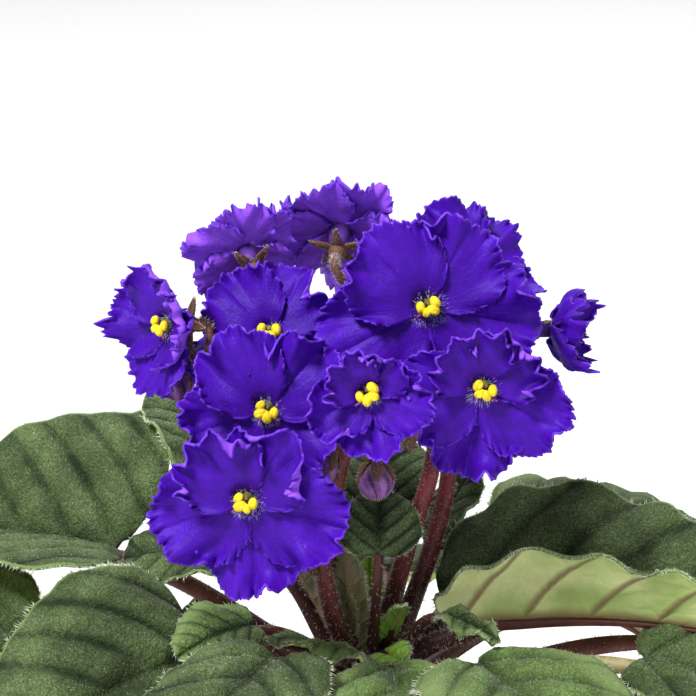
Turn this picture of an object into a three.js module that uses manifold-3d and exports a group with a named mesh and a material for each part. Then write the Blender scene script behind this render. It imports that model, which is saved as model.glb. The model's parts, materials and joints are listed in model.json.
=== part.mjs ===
// A potted African violet: a rosette of thick, hairy leaves round a short crown, four flower stalks
// that carry its ruffled violet blooms and buds, and the plain pot and soil that hold it.
// Millimetres, +Z up. The origin is the centre of the pot's base, and -Y is the side seen from the front.
// Angles are in degrees. An azimuth runs anticlockwise from +X, so 270 faces the front.

import * as THREE from "three";
import { mergeVertices } from "three/addons/utils/BufferGeometryUtils.js";
import Module from "manifold-3d";

const wasm = await Module();
wasm.setup();

// Driving dimensions

const GAP = 0.3;

const POT = {
  height: 88,
  rimRadius: 60,
  rimHeight: 17,
  rimStep: 3,
  baseRadius: 43,
  wall: 3.2,
  floor: 4,
  footHeight: 2,
  drainHoles: 5,
  drainRadius: 3.5,
  drainCircle: 24,
  sides: 24,
};

const SOIL = { depthBelowRim: 3, dome: 9, lump: 1.1, rings: 3 };

const CROWN = { radius: 8.5, rootRadius: 4, bottom: 66, shoulder: 112, top: 116.5, sides: 10 };

// skew widens a blade near its base, lobe draws its base out behind the petiole, tooth notches its margin,
// curl turns the margin down, and waves counts the ripples along it. blunt is the share of the blade that is
// left off at its foot and its tip, so that neither ends in a point.
const LEAF = {
  thickness: 1.2,
  lobe: 0.16,
  skew: 0.22,
  tooth: 0.03,
  curl: 0.12,
  blunt: 0.02,
  waves: 2.6,
  ripple: 1.6,
  rows: 6,
  columns: 4,
};

// into is the share of the blade's length at which the petiole ends under it, and below is how deep.
const PETIOLE = { radius: 2.3, into: 0.12, below: 1.4, sides: 5, steps: 3 };

// The least distance between two petioles on the crown
const SEAT_SPACING = 5.4;

// root is the share of a petal that starts in the tube, claw is half the angle left open at its foot, layer
// is the height between overlapping petals, and ruffle is its waves' height as a share of its reach.
const PETAL = {
  thickness: 0.7,
  root: 0.13,
  claw: 24,
  layer: 1.3,
  ruffle: 0.075,
  sag: 0.06,
  columns: 7,
  rows: 1,
};

const TUBE = { mouth: 0.15, radius: 1.8, front: 1, back: 5.5, sides: 6 };

const ANTHER = { radius: 1.3, apart: 0.95, seat: 2.5 };

const CALYX = { cup: 2.1, height: 2.4, thickness: 0.8, count: 5 };

const STALK = { radius: 2.2, sides: 6, steps: 6, pedicelRadius: 0.9, pedicelSteps: 5, neck: 4 };

// Each leaf's blade starts at base, as [azimuth, distance from the crown's axis, height], and its size is
// [length, width]. The midrib leaves the base at pitch and bends down by droop along the blade, turned
// sideways by turn. The blade is rolled about the midrib, and its halves fold up by fold. right is the width
// of the half to the right of the midrib, as a share, and lift is the further angle that this half folds up
// by.
const LEAVES = [
  { name: "leaf_outer_01", base: [187, 80, 120], size: [60, 54], pitch: -2, droop: 30, roll: 24, fold: 12 },
  { name: "leaf_outer_02", base: [323, 53, 113], size: [54, 38], pitch: -4, droop: 40, roll: 2, fold: 8 },
  { name: "leaf_outer_03", base: [342, 66, 117], size: [58, 44], pitch: -4, droop: 34, roll: -12, fold: 10 },
  { name: "leaf_outer_04", base: [86, 62, 111], size: [60, 52], pitch: -6, droop: 34, roll: 0, fold: 8 },
  { name: "leaf_outer_05", base: [136, 68, 102], size: [60, 52], pitch: -32, droop: 26, roll: 0, fold: 8 },
  { name: "leaf_outer_06", base: [48, 64, 107], size: [60, 52], pitch: -12, droop: 30, roll: 0, fold: 8 },
  { name: "leaf_outer_07", base: [252, 52, 109], size: [54, 31], pitch: -10, droop: 40, roll: 0, fold: 10 },
  { name: "leaf_outer_08", base: [2, 66, 115], size: [62, 50], pitch: -4, droop: 26, roll: -6, fold: 10 },
  {
    name: "leaf_mid_01", base: [170, 61, 133], size: [60, 56], turn: -14,
    pitch: 2, droop: 12, roll: 24, fold: 40, skew: 1, lobe: 0.32,
  },
  {
    name: "leaf_mid_02", base: [209, 46, 117.5], size: [52, 53],
    pitch: 0, droop: 40, roll: 40, fold: 12, turn: 6, skew: 0.4,
  },
  { name: "leaf_mid_03", base: [278, 33, 119], size: [50, 34], pitch: 0, droop: 46, roll: 0, fold: 6 },
  { name: "leaf_mid_04", base: [304, 42, 121], size: [53, 45], pitch: 2, droop: 42, roll: 0, fold: 8 },
  {
    name: "leaf_mid_05", base: [350, 21, 120], size: [74, 64],
    pitch: 12, droop: 24, roll: -14, fold: 54, right: 0.72, lift: 24,
  },
  { name: "leaf_mid_06", base: [28, 44, 137], size: [62, 52], pitch: 4, droop: 40, roll: 0, fold: 8 },
  { name: "leaf_mid_07", base: [112, 48, 119], size: [56, 50], pitch: -2, droop: 36, roll: 0, fold: 10 },
  { name: "leaf_mid_08", base: [144, 36, 146], size: [34, 34], pitch: 40, droop: 10, roll: 0, fold: 12 },
  { name: "leaf_mid_09", base: [240, 42, 123], size: [50, 38], pitch: 0, droop: 50, roll: 0, fold: 8 },
  { name: "leaf_inner_01", base: [178, 28, 136], size: [30, 25], pitch: 4, droop: 20, roll: 18, fold: 12 },
  { name: "leaf_inner_02", base: [214, 33, 124], size: [20, 18], pitch: 4, droop: 30, roll: 26, fold: 12 },
  {
    name: "leaf_inner_03", base: [262, 20, 117.5], size: [23, 11.5],
    pitch: 20, droop: 6, roll: -6, fold: 4, turn: -64,
  },
  { name: "leaf_inner_04", base: [82, 20, 137], size: [25, 25], pitch: 48, droop: 20, roll: 0, fold: 12 },
  { name: "leaf_inner_05", base: [38, 20, 134], size: [23, 14], pitch: 62, droop: 20, roll: 0, fold: 14 },
  {
    name: "leaf_inner_06", base: [276, 17.5, 141.5], size: [14.5, 18.5],
    pitch: 66, droop: 10, roll: 0, fold: 6, turn: -190,
  },
  { name: "leaf_inner_07", base: [312, 25, 127], size: [18, 7], pitch: 0, droop: 10, roll: -10, fold: 12 },
];

// The four flower stalks, as points from the crown to the fork where the flower stems part.
const STALKS = [
  {
    name: "flower_stalk_right",
    points: [[2, -1, 104], [4.5, -4, 121], [8.5, -10, 140], [13.5, -11, 157], [16, -8, 171]],
  },
  {
    name: "flower_stalk_back",
    points: [[3, 0, 104], [9, 1, 120], [15, 2, 138], [18.5, 5, 154], [16, 9, 172]],
  },
  {
    name: "flower_stalk_middle",
    points: [[-2, 1, 104], [-4, 0, 120], [-8, -7, 138], [-8, -12, 154], [-5, -12, 168]],
  },
  {
    name: "flower_stalk_left",
    points: [[-2, -4, 106], [-5.5, -9.5, 115.5], [-9.5, -17, 130], [-13, -17, 148], [-20, -8, 165]],
  },
];

// Each bloom's throat is at the point at, and the bloom faces an azimuth and an elevation. reach is the
// length of its lower petals, and cup is how far forward the petals' tips stand. shares shortens petals by
// their place in PETALS.
const BLOOMS = [
  { name: "bloom_01", stalk: "right", at: [12.6, -24, 200.9], face: [272, 14], spin: 6, reach: 26, cup: 1 },
  { name: "bloom_02", stalk: "back", at: [21, 2, 203.5], face: [288, 34], spin: -20, reach: 20, cup: 2 },
  {
    name: "bloom_03", stalk: "right", at: [41, -9, 192], face: [345, 6],
    spin: 30, reach: 13, cup: 9, via: [[27, -17, 181]],
  },
  {
    name: "bloom_04", stalk: "right", at: [24.2, -40, 186.8], face: [276, 4],
    spin: -8, reach: 21, cup: 2, via: [[20, -24, 170], [23, -30.5, 178]], shares: { 0: 0.82, 1: 0.88 },
  },
  {
    name: "bloom_05", stalk: "middle", at: [-0.5, -46, 187.4], face: [262, 8],
    spin: 10, reach: 15, cup: 6, via: [[0, -28, 176]], shares: { 0: 0.85, 1: 0.85 },
  },
  {
    name: "bloom_06", stalk: "left", at: [-22.9, -30, 178.9], face: [264, 10],
    spin: 0, reach: 21.2, cup: 1, via: [[-20.5, -16, 166], [-22, -23, 171]], shares: { 3: 0.86 },
  },
  {
    name: "bloom_07", stalk: "left", at: [-26.9, -48, 163.9], face: [260, 2],
    spin: 4, reach: 23, cup: 1, from: 0.5, via: [[-20, -29, 147], [-24, -37.5, 155]],
  },
  {
    name: "bloom_08", stalk: "left", at: [-45.3, -18, 195.2], face: [222, 8],
    spin: -16, reach: 17.2, cup: 4, via: [[-28, -18, 168], [-36, -25, 180]], shares: { 1: 0.75, 3: 0.62 },
  },
  { name: "bloom_09", stalk: "left", at: [-22.7, -10, 191], face: [262, 30], spin: 10, reach: 21, cup: 1 },
  { name: "bloom_10", stalk: "back", at: [-7, 13, 210], face: [84, 38], spin: 0, reach: 19, cup: 0 },
  {
    name: "bloom_11", stalk: "back", at: [-28.5, 5.2, 206.8], face: [109, 29],
    spin: 26, reach: 15.2, cup: 2,
  },
];

const BUDS = [
  {
    name: "bud_left", stalk: "left", at: [-43.5, -9, 183.5], face: [250, -75],
    via: [[-28, -17, 168], [-36, -20, 181], [-41, -14, 189]],
  },
  { name: "bud_middle", stalk: "middle", at: [0.9, -34, 168], face: [275, -66] },
  { name: "bud_inner", stalk: "middle", at: [-9.8, -20, 167], face: [230, -64] },
];

// Calyces whose blooms have fallen
const SPENT = [{ stalk: "right", at: [11, -27, 173.5], face: [268, -62], via: [[13.5, -16, 178]] }];

// Materials

const finish = (color, roughness) =>
  new THREE.MeshStandardMaterial({ color, roughness, metalness: 0, side: THREE.DoubleSide });
const MATERIALS = {
  pot: finish(0xb5683f, 0.85),
  soil: finish(0x2b1d14, 0.95),
  crown: finish(0x5b4038, 0.8),
  leaf: finish(0x35552c, 0.75),
  stalk: finish(0x5e2420, 0.6),
  petal: finish(0x4a1fb4, 0.55),
  anther: finish(0xf2d31b, 0.5),
};

// Small helpers

const radians = THREE.MathUtils.degToRad;
const vector = (array) => new THREE.Vector3(...array);

function heading(azimuth, elevation) {
  const a = radians(azimuth);
  const e = radians(elevation);
  return new THREE.Vector3(Math.cos(a) * Math.cos(e), Math.sin(a) * Math.cos(e), Math.sin(e));
}

// A repeatable number from 0 to 1 for each whole number.
function scatter(seed) {
  const x = Math.sin(seed * 127.1 + 11.7) * 43758.5453;
  return x - Math.floor(x);
}

function smoothstep(low, high, x) {
  const t = Math.min(1, Math.max(0, (x - low) / (high - low)));
  return t * t * (3 - 2 * t);
}

// Solids: joining and cutting

function solidOf(geometry) {
  const bare = new THREE.BufferGeometry();
  bare.setAttribute("position", geometry.getAttribute("position").clone());
  if (geometry.index) bare.setIndex(geometry.index.clone());
  const merged = mergeVertices(bare, 1e-4);
  const index = merged.index.array;
  const kept = [];
  for (let i = 0; i < index.length; i += 3) {
    const [a, b, c] = [index[i], index[i + 1], index[i + 2]];
    if (a !== b && b !== c && c !== a) kept.push(a, b, c);
  }
  const mesh = new wasm.Mesh({
    numProp: 3,
    vertProperties: merged.getAttribute("position").array,
    triVerts: new Uint32Array(kept),
  });
  return new wasm.Manifold(mesh);
}

function geometryOf(solid) {
  const mesh = solid.getMesh();
  const geometry = new THREE.BufferGeometry();
  geometry.setAttribute("position", new THREE.BufferAttribute(mesh.vertProperties, 3));
  geometry.setIndex(new THREE.BufferAttribute(mesh.triVerts, 1));
  geometry.computeVertexNormals();
  return geometry;
}

// The largest body of a solid. A loose scrap is dropped, and so is the skin of a sealed hollow.
const larger = (one, other) => (other.volume() > one.volume() ? other : one);
const mainBody = (solid) => solid.decompose().reduce(larger);

const fuse = (geometries) => mainBody(geometries.map(solidOf).reduce((joined, next) => joined.add(next)));

// A closed thin blade. surface(u, v) gives a point of its middle and the direction of its thickness. Both
// faces are split into the same triangles, so that a waved blade doesn't cross itself.
function thinBlade(columns, rows, thickness, surface) {
  const positions = [];
  for (const side of [thickness / 2, -thickness / 2]) {
    for (let j = 0; j <= rows; j++) {
      for (let i = 0; i <= columns; i++) {
        const { point, lift } = surface(i / columns, j / rows);
        positions.push(...point.clone().addScaledVector(lift, side).toArray());
      }
    }
  }
  const perFace = (columns + 1) * (rows + 1);
  const upper = (i, j) => j * (columns + 1) + i;
  const lower = (i, j) => perFace + upper(i, j);
  const index = [];
  for (let j = 0; j < rows; j++) {
    for (let i = 0; i < columns; i++) {
      index.push(upper(i, j), upper(i + 1, j + 1), upper(i + 1, j));
      index.push(upper(i, j), upper(i, j + 1), upper(i + 1, j + 1));
      index.push(lower(i, j), lower(i + 1, j), lower(i + 1, j + 1));
      index.push(lower(i, j), lower(i + 1, j + 1), lower(i, j + 1));
    }
  }
  const border = [];
  for (let i = 0; i < columns; i++) border.push([i, 0]);
  for (let j = 0; j < rows; j++) border.push([columns, j]);
  for (let i = columns; i > 0; i--) border.push([i, rows]);
  for (let j = rows; j > 0; j--) border.push([0, j]);
  border.forEach((here, k) => {
    const next = border[(k + 1) % border.length];
    index.push(upper(...here), lower(...next), lower(...here));
    index.push(upper(...here), upper(...next), lower(...next));
  });
  const geometry = new THREE.BufferGeometry();
  geometry.setAttribute("position", new THREE.Float32BufferAttribute(positions, 3));
  geometry.setIndex(index);
  return geometry;
}

// A closed round stem along a curve, with its sides and steps
function stemAlong(curve, radius, sides, steps) {
  const corners = Array.from({ length: sides }, (_, i) => {
    const angle = (2 * Math.PI * i) / sides;
    return new THREE.Vector2(radius * Math.cos(angle), radius * Math.sin(angle));
  });
  return new THREE.ExtrudeGeometry(new THREE.Shape(corners), { extrudePath: curve, steps });
}

// A closed turned solid from its outline of [radius, height] points, which starts and ends on the axis.
function turned(outline, sides) {
  const geometry = new THREE.LatheGeometry(outline.map(([r, h]) => new THREE.Vector2(r, h)), sides);
  return geometry.rotateX(Math.PI / 2);
}

// Pot and soil

function potInnerRadius(height) {
  const atFloor = POT.baseRadius - POT.wall;
  const atRim = POT.rimRadius - POT.rimStep - POT.wall;
  return THREE.MathUtils.mapLinear(height, POT.floor, POT.height, atFloor, atRim);
}

function potSolid() {
  const rimBottom = POT.height - POT.rimHeight;
  const bodyTop = POT.rimRadius - POT.rimStep - 1;
  const outline = [
    [0, 0],
    [POT.baseRadius - 1, 0],
    [POT.baseRadius, POT.footHeight],
    [bodyTop, rimBottom],
    [POT.rimRadius - 0.8, rimBottom + 1],
    [POT.rimRadius, POT.height - 1.5],
    [POT.rimRadius - 1.2, POT.height],
    [potInnerRadius(POT.height) + 0.8, POT.height],
    [potInnerRadius(POT.height - 2), POT.height - 2],
    [potInnerRadius(POT.floor), POT.floor],
    [0, POT.floor],
  ];
  let pot = solidOf(turned(outline, POT.sides));
  for (let i = 0; i < POT.drainHoles; i++) {
    const drill = new THREE.CylinderGeometry(POT.drainRadius, POT.drainRadius, POT.floor * 3, 8);
    const place = heading((360 / POT.drainHoles) * i, 0).multiplyScalar(POT.drainCircle);
    pot = pot.subtract(solidOf(drill.rotateX(Math.PI / 2).translate(place.x, place.y, 0)));
  }
  return pot;
}

const soilTop = POT.height - SOIL.depthBelowRim;

function soilSolid() {
  const bottom = POT.floor + GAP;
  const outline = [
    [0, bottom],
    [potInnerRadius(bottom) - GAP, bottom],
    [potInnerRadius(soilTop) - GAP, soilTop],
  ];
  const edge = potInnerRadius(soilTop) - GAP;
  for (let ring = SOIL.rings; ring >= 0; ring--) {
    const share = ring / (SOIL.rings + 1);
    outline.push([edge * share, soilTop + SOIL.dome * (1 - share * share)]);
  }
  const geometry = turned(outline, POT.sides);
  const position = geometry.getAttribute("position");
  for (let i = 0; i < position.count; i++) {
    const [x, y, z] = [position.getX(i), position.getY(i), position.getZ(i)];
    if (z > soilTop + 0.1) {
      const mounds = Math.sin(x * 0.31 + 1) * Math.cos(y * 0.37);
      const crumbs = 0.6 * Math.sin(x * 0.83) * Math.sin(y * 0.71 + 2);
      position.setZ(i, z + SOIL.lump * (mounds + crumbs));
    }
  }
  return solidOf(geometry).subtract(solidOf(turned(crownOutline(GAP), CROWN.sides)));
}

// Crown: the short, thick stem that all leaves and flower stalks grow from

function crownOutline(grow) {
  const { radius, rootRadius, bottom, shoulder, top } = CROWN;
  return [
    [0, bottom - grow],
    [rootRadius + grow, bottom - grow],
    [radius + grow, soilTop - 4],
    [radius + grow, shoulder],
    [radius * 0.6 + grow, top - 1 + grow],
    [0, top + grow],
  ];
}

const YOUNG_STEM = 1.2;

// The youngest leaves, still upright in the middle of the crown.
const YOUNG_LEAVES = [
  { base: [298, 9.5, 118], size: [12, 7], pitch: 64, droop: 20, roll: 0, fold: 26 },
  { base: [290, 9.5, 113.5], size: [14, 10], pitch: 14, droop: 6, roll: -20, fold: 26 },
  { base: [228, 9, 118], size: [17, 10], pitch: 72, droop: -14, roll: 0, fold: 20 },
  { base: [90, 5, 120], size: [12, 8], pitch: 70, droop: 10, roll: 0, fold: 34 },
  { base: [247, 7.4, 115], size: [27, 8.6], pitch: 74, droop: -4, roll: 0, fold: 12 },
  { base: [206, 9, 116], size: [28, 14], pitch: 66, droop: 6, roll: 0, fold: 16 },
];

function crownSolid() {
  const young = YOUNG_LEAVES.flatMap((leaf, i) => {
    const shape = leafShape({ ...leaf, turn: 0, seed: i, wave: 0.4 });
    const [azimuth, reach] = leaf.base;
    const start = heading(azimuth, 0).multiplyScalar(reach * 0.5).setZ(CROWN.top - 4);
    const stem = new THREE.CatmullRomCurve3([start, shape.base, shape.midrib(leaf.size[0] * 0.2)]);
    return [thinBlade(2, 3, LEAF.thickness, shape.surface), stemAlong(stem, YOUNG_STEM, 5, 3)];
  });
  return fuse([turned(crownOutline(0), CROWN.sides), ...young]);
}

// Leaves

// The shape of one leaf: its base point, its midrib as a function of the distance from the base, and its
// surface, where u runs across from edge to edge and v from the base to the tip.
function leafShape(leaf) {
  const { base, size, pitch, droop, roll, fold, turn, seed, wave, right = 1, lift = 0 } = leaf;
  const { skew = LEAF.skew, lobe = LEAF.lobe } = leaf;
  const [azimuth, reach, height] = base;
  const [length, width] = size;
  const basePoint = heading(azimuth, 0).multiplyScalar(reach).setZ(height);
  const pointing = azimuth + turn;
  const bend = radians(droop) / length;
  const start = radians(pitch);

  // Along the midrib: an arc that starts at pitch and turns down.
  const frameAt = (distance) => {
    const slope = distance > 0 ? start - bend * distance : start;
    const forward = heading(pointing, THREE.MathUtils.radToDeg(slope));
    const side = heading(pointing + 90, 0);
    const normal = new THREE.Vector3().crossVectors(forward, side);
    side.applyAxisAngle(forward, radians(-roll));
    normal.applyAxisAngle(forward, radians(-roll));
    return { forward, side, normal };
  };
  const midrib = (distance) => {
    const point = basePoint.clone();
    if (distance <= 0) return point.addScaledVector(heading(pointing, pitch), distance);
    const out = (Math.sin(start) - Math.sin(start - bend * distance)) / bend;
    const up = (Math.cos(start - bend * distance) - Math.cos(start)) / bend;
    return point.addScaledVector(heading(pointing, 0), out).setZ(height + up);
  };

  const surface = (u, share) => {
    const across = 2 * u - 1;
    const far = Math.abs(across);
    const row = Math.round(share * LEAF.rows);
    const v = THREE.MathUtils.lerp(LEAF.blunt, 1 - LEAF.blunt, share);
    const tooth = 1 + LEAF.tooth * (row % 2 ? 1 : -1) * smoothstep(0.9, 1, far);
    const half = (width / 2) * Math.sin(Math.PI * v) * (1 + skew * Math.cos(Math.PI * v)) * tooth;
    const edge = (1 - Math.cos(Math.PI * v)) / 2 - lobe * Math.sin(2 * Math.PI * v) * (1 - v) ** 2;
    const centre = v ** 1.4;
    const distance = length * THREE.MathUtils.lerp(centre, edge, far ** 1.3);
    const { side, normal } = frameAt(distance);
    const sideways = across * half * (across < 0 ? right : 1);
    const folded = radians(across < 0 ? fold + lift : fold);
    const rise = Math.abs(sideways) * Math.sin(folded) - LEAF.curl * half * far ** 4;
    const phase = LEAF.waves * v + 0.5 * Math.sign(across) + scatter(seed);
    const ripple = wave * far ** 3 * Math.sin(2 * Math.PI * phase) * Math.sqrt(Math.sin(Math.PI * v));
    const point = midrib(distance);
    point.addScaledVector(side, sideways * Math.cos(folded));
    point.addScaledVector(normal, rise + ripple);
    return { point, lift: normal };
  };
  return { base: basePoint, midrib, frameAt, surface };
}

// Each petiole takes the lowest free seat on the crown in its leaf's direction, oldest leaf first.
function seatsFor(leaves) {
  const taken = [];
  const lowest = soilTop + SOIL.dome + SOIL.lump + PETIOLE.radius + 1;
  return leaves.map((leaf) => {
    const angle = radians(leaf.base[0]);
    let height = lowest;
    const clashes = () =>
      taken.some((seat) => {
        const turnBetween = Math.atan2(Math.sin(angle - seat.angle), Math.cos(angle - seat.angle));
        return Math.hypot(turnBetween * CROWN.radius, height - seat.height) < SEAT_SPACING;
      });
    while (clashes()) height += 0.5;
    taken.push({ angle, height });
    return height;
  });
}

function leafSolid(leaf, seatHeight, crownClearance) {
  const shape = leafShape(leaf);
  const [azimuth, reach, height] = leaf.base;
  const [length] = leaf.size;
  const outward = heading(azimuth, 0);
  const root = outward.clone().multiplyScalar(CROWN.radius - 0.6).setZ(seatHeight);
  const run = shape.base.clone().sub(root).length();
  const climb = Math.atan2(height - seatHeight, reach - CROWN.radius);
  const first = outward.clone().multiplyScalar(Math.cos(climb)).setZ(Math.sin(climb));
  const { forward, normal } = shape.frameAt(0);
  const end = shape.midrib(length * PETIOLE.into).addScaledVector(normal, -PETIOLE.below);
  const path = new THREE.CubicBezierCurve3(
    root,
    root.clone().addScaledVector(first, run * 0.4),
    end.clone().addScaledVector(forward, -run * 0.45),
    end,
  );
  const radius = PETIOLE.radius * Math.min(1, 0.35 + length / 90);
  const stem = solidOf(stemAlong(path, radius, PETIOLE.sides, PETIOLE.steps)).subtract(crownClearance);
  const blade = solidOf(thinBlade(LEAF.columns, LEAF.rows, LEAF.thickness, shape.surface));
  return mainBody(stem.add(blade));
}

// Blooms

// A bloom's own frame: +Z is the way it faces, +Y its top, and the origin is its throat.
function bloomMatrix({ at, face, spin }) {
  const z = heading(...face);
  const x = new THREE.Vector3(0, 0, 1).cross(z).normalize();
  const y = z.clone().cross(x);
  const turn = new THREE.Matrix4().makeRotationZ(radians(spin ?? 0));
  return new THREE.Matrix4().makeBasis(x, y, z).setPosition(vector(at)).multiply(turn);
}

// Two short upper petals lie over three longer lower ones. angle is measured from the bloom's top.
const PETALS = [
  { angle: 36, share: 0.82, breadth: 0.98, layer: 3 },
  { angle: -36, share: 0.82, breadth: 0.98, layer: 2 },
  { angle: 110, share: 1, breadth: 1.02, layer: 1 },
  { angle: -110, share: 1, breadth: 1.02, layer: 1 },
  { angle: 180, share: 1, breadth: 1.06, layer: 0 },
];

// The waves of a bloom's face are one pattern for all of its petals, so that layered petals don't cross.
function ruffle(bloom, point, out) {
  const around = Math.atan2(point.y, point.x);
  const wave = Math.sin(7 * around + bloom.seed) + 0.5 * Math.sin(11 * around + 2.3 * bloom.seed);
  const waved = PETAL.ruffle * bloom.reach * smoothstep(0.25, 0.95, out) * wave;
  return bloom.cup * out ** 1.5 - PETAL.sag * bloom.reach * out ** 2 + waved;
}

// A petal is a family of rounded outlines that all start at the throat. Its margin is waved.
function petalSurface(petal, bloom, seed, share) {
  const length = bloom.reach * petal.share * share;
  const breadth = bloom.reach * petal.breadth;
  const angle = radians(petal.angle + 8 * (scatter(seed) - 0.5));
  const outward = new THREE.Vector3(-Math.sin(angle), Math.cos(angle), 0);
  const sideways = new THREE.Vector3(Math.cos(angle), Math.sin(angle), 0);
  const forward = new THREE.Vector3(0, 0, 1);
  const claw = radians(PETAL.claw);
  return (u, v) => {
    const round = THREE.MathUtils.lerp(claw, 2 * Math.PI - claw, u);
    const size = THREE.MathUtils.lerp(PETAL.root, 1, v);
    const point = outward.clone().multiplyScalar((size * length * (1 - Math.cos(round))) / 2);
    point.addScaledVector(sideways, (size * breadth * Math.sin(round)) / 2);
    const out = point.length() / bloom.reach;
    const layer = PETAL.layer * (petal.layer - 1.5) * smoothstep(0.1, 0.3, out);
    return { point: point.setZ(layer + ruffle(bloom, point, out)), lift: forward };
  };
}

function corollaSolid(bloom) {
  const length = TUBE.front + TUBE.back;
  const tube = new THREE.CylinderGeometry(TUBE.mouth * bloom.reach, TUBE.radius, length, TUBE.sides);
  tube.rotateX(Math.PI / 2).translate(0, 0, (TUBE.front - TUBE.back) / 2);
  const petals = PETALS.map((petal, i) => {
    const surface = petalSurface(petal, bloom, bloom.seed * 10 + i, bloom.shares?.[i] ?? 1);
    return thinBlade(PETAL.columns, PETAL.rows, PETAL.thickness, surface);
  });
  return fuse([tube, ...petals]);
}

// The yellow pollen sacs, two pairs that stand just in front of the throat.
function antherSolid() {
  const sacs = [-1, 1].map((side) => {
    const sac = new THREE.SphereGeometry(ANTHER.radius, 5, 3).scale(1, 1.3, 0.9);
    return sac.translate(side * ANTHER.apart, side * -0.15, 0);
  });
  return fuse(sacs);
}

// Calyx: a small cup whose rim is drawn out into five pointed sepals. It holds a bloom or a bud from behind.
function calyxGeometry({ reach, rise, behind, hollow }) {
  const { cup, height, thickness, count } = CALYX;
  const outline = [
    [0, -height],
    [1, -height],
    [cup, -thickness],
    [cup, 0],
    ...(hollow ? [[cup - 0.1, 0]] : []),
    [0, 0],
  ];
  const geometry = turned(outline, 2 * count);
  const position = geometry.getAttribute("position");
  for (let i = 0; i < position.count; i++) {
    const column = Math.floor(i / outline.length) % (2 * count);
    const ring = i % outline.length;
    const under = ring === 2;
    if (column % 2 === 0 && (under || ring === 3)) {
      const tip = new THREE.Vector2(position.getX(i), position.getY(i));
      tip.setLength(under ? reach + 0.5 : reach);
      position.setXYZ(i, tip.x, tip.y, under ? rise - thickness : rise);
    }
  }
  return geometry.translate(0, 0, -behind);
}

const BLOOM_CALYX = { reach: 6.8, rise: 0.8, behind: TUBE.back + GAP, hollow: false };
const BUD_CALYX = { reach: 4.9, rise: 4.8, behind: GAP, hollow: true };
const SPENT_CALYX = { reach: 4.2, rise: 5.6, behind: GAP, hollow: true };

function budSolid() {
  const outline = [
    [0, 0],
    [1.7, 0.3],
    [3.1, 2.6],
    [3.4, 4.8],
    [2.3, 7.2],
    [0, 8.4],
  ];
  return solidOf(turned(outline, 8));
}

// A flower stalk with the thin stems and calyces of the blooms and buds that it carries
function stalkSolid(stalk, crownClearance) {
  const points = stalk.points.map(vector);
  const path = new THREE.CatmullRomCurve3(points);
  const pieces = [stemAlong(path, STALK.radius, STALK.sides, STALK.steps)];
  for (const [list, calyx] of [[BLOOMS, BLOOM_CALYX], [BUDS, BUD_CALYX], [SPENT, SPENT_CALYX]]) {
    for (const flower of list.filter((one) => `flower_stalk_${one.stalk}` === stalk.name)) {
      const frame = bloomMatrix(flower);
      const facing = heading(...flower.face);
      const end = vector(flower.at).addScaledVector(facing, -(calyx.behind + CALYX.height - 0.6));
      const start = path.getPointAt(flower.from ?? 1);
      const backward = facing.clone().multiplyScalar(-Math.min(STALK.neck, 0.3 * end.distanceTo(start)));
      const way = [start, ...(flower.via ?? []).map(vector), end.clone().add(backward), end];
      const stem = new THREE.CatmullRomCurve3(way);
      pieces.push(stemAlong(stem, STALK.pedicelRadius, 5, STALK.pedicelSteps));
      pieces.push(calyxGeometry(calyx).applyMatrix4(frame));
    }
  }
  return mainBody(fuse(pieces).subtract(crownClearance));
}

// The whole plant in its pot

const plant = new THREE.Group();
plant.name = "potted_african_violet";

function addPiece(name, solid, material, parent = plant) {
  const mesh = new THREE.Mesh(geometryOf(solid), material);
  mesh.name = name;
  parent.add(mesh);
  return mesh;
}

addPiece("pot", potSolid(), MATERIALS.pot);
addPiece("soil", soilSolid(), MATERIALS.soil);
addPiece("crown", crownSolid(), MATERIALS.crown);

const crownClearance = solidOf(turned(crownOutline(GAP), CROWN.sides));

const seats = seatsFor(LEAVES);
LEAVES.forEach((leaf, i) => {
  const full = { turn: 0, wave: LEAF.ripple, seed: i + 1, ...leaf };
  addPiece(leaf.name, leafSolid(full, seats[i], crownClearance), MATERIALS.leaf);
});

STALKS.forEach((stalk) => addPiece(stalk.name, stalkSolid(stalk, crownClearance), MATERIALS.stalk));

BLOOMS.forEach((bloom, i) => {
  const head = new THREE.Group();
  head.applyMatrix4(bloomMatrix(bloom));
  addPiece(bloom.name, corollaSolid({ ...bloom, seed: i + 1 }), MATERIALS.petal, head);
  const anthers = addPiece(bloom.name.replace("bloom", "anthers"), antherSolid(), MATERIALS.anther, head);
  anthers.position.set(0, 0, ANTHER.seat);
  plant.add(head);
});

BUDS.forEach((bud) => {
  const head = new THREE.Group();
  head.applyMatrix4(bloomMatrix(bud));
  addPiece(bud.name, budSolid(), MATERIALS.petal, head);
  plant.add(head);
});

export default plant;
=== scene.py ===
"""A potted African violet: hairy quilted leaves round a short crown, ruffled violet blooms on red stalks.

Every piece is worked out in millimetres round the fixed frame and made in metres, +Z up, with -Y the side
seen from the front. Angles are in degrees, and an azimuth runs anticlockwise from +X, so 270 faces the front.
"""

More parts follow.
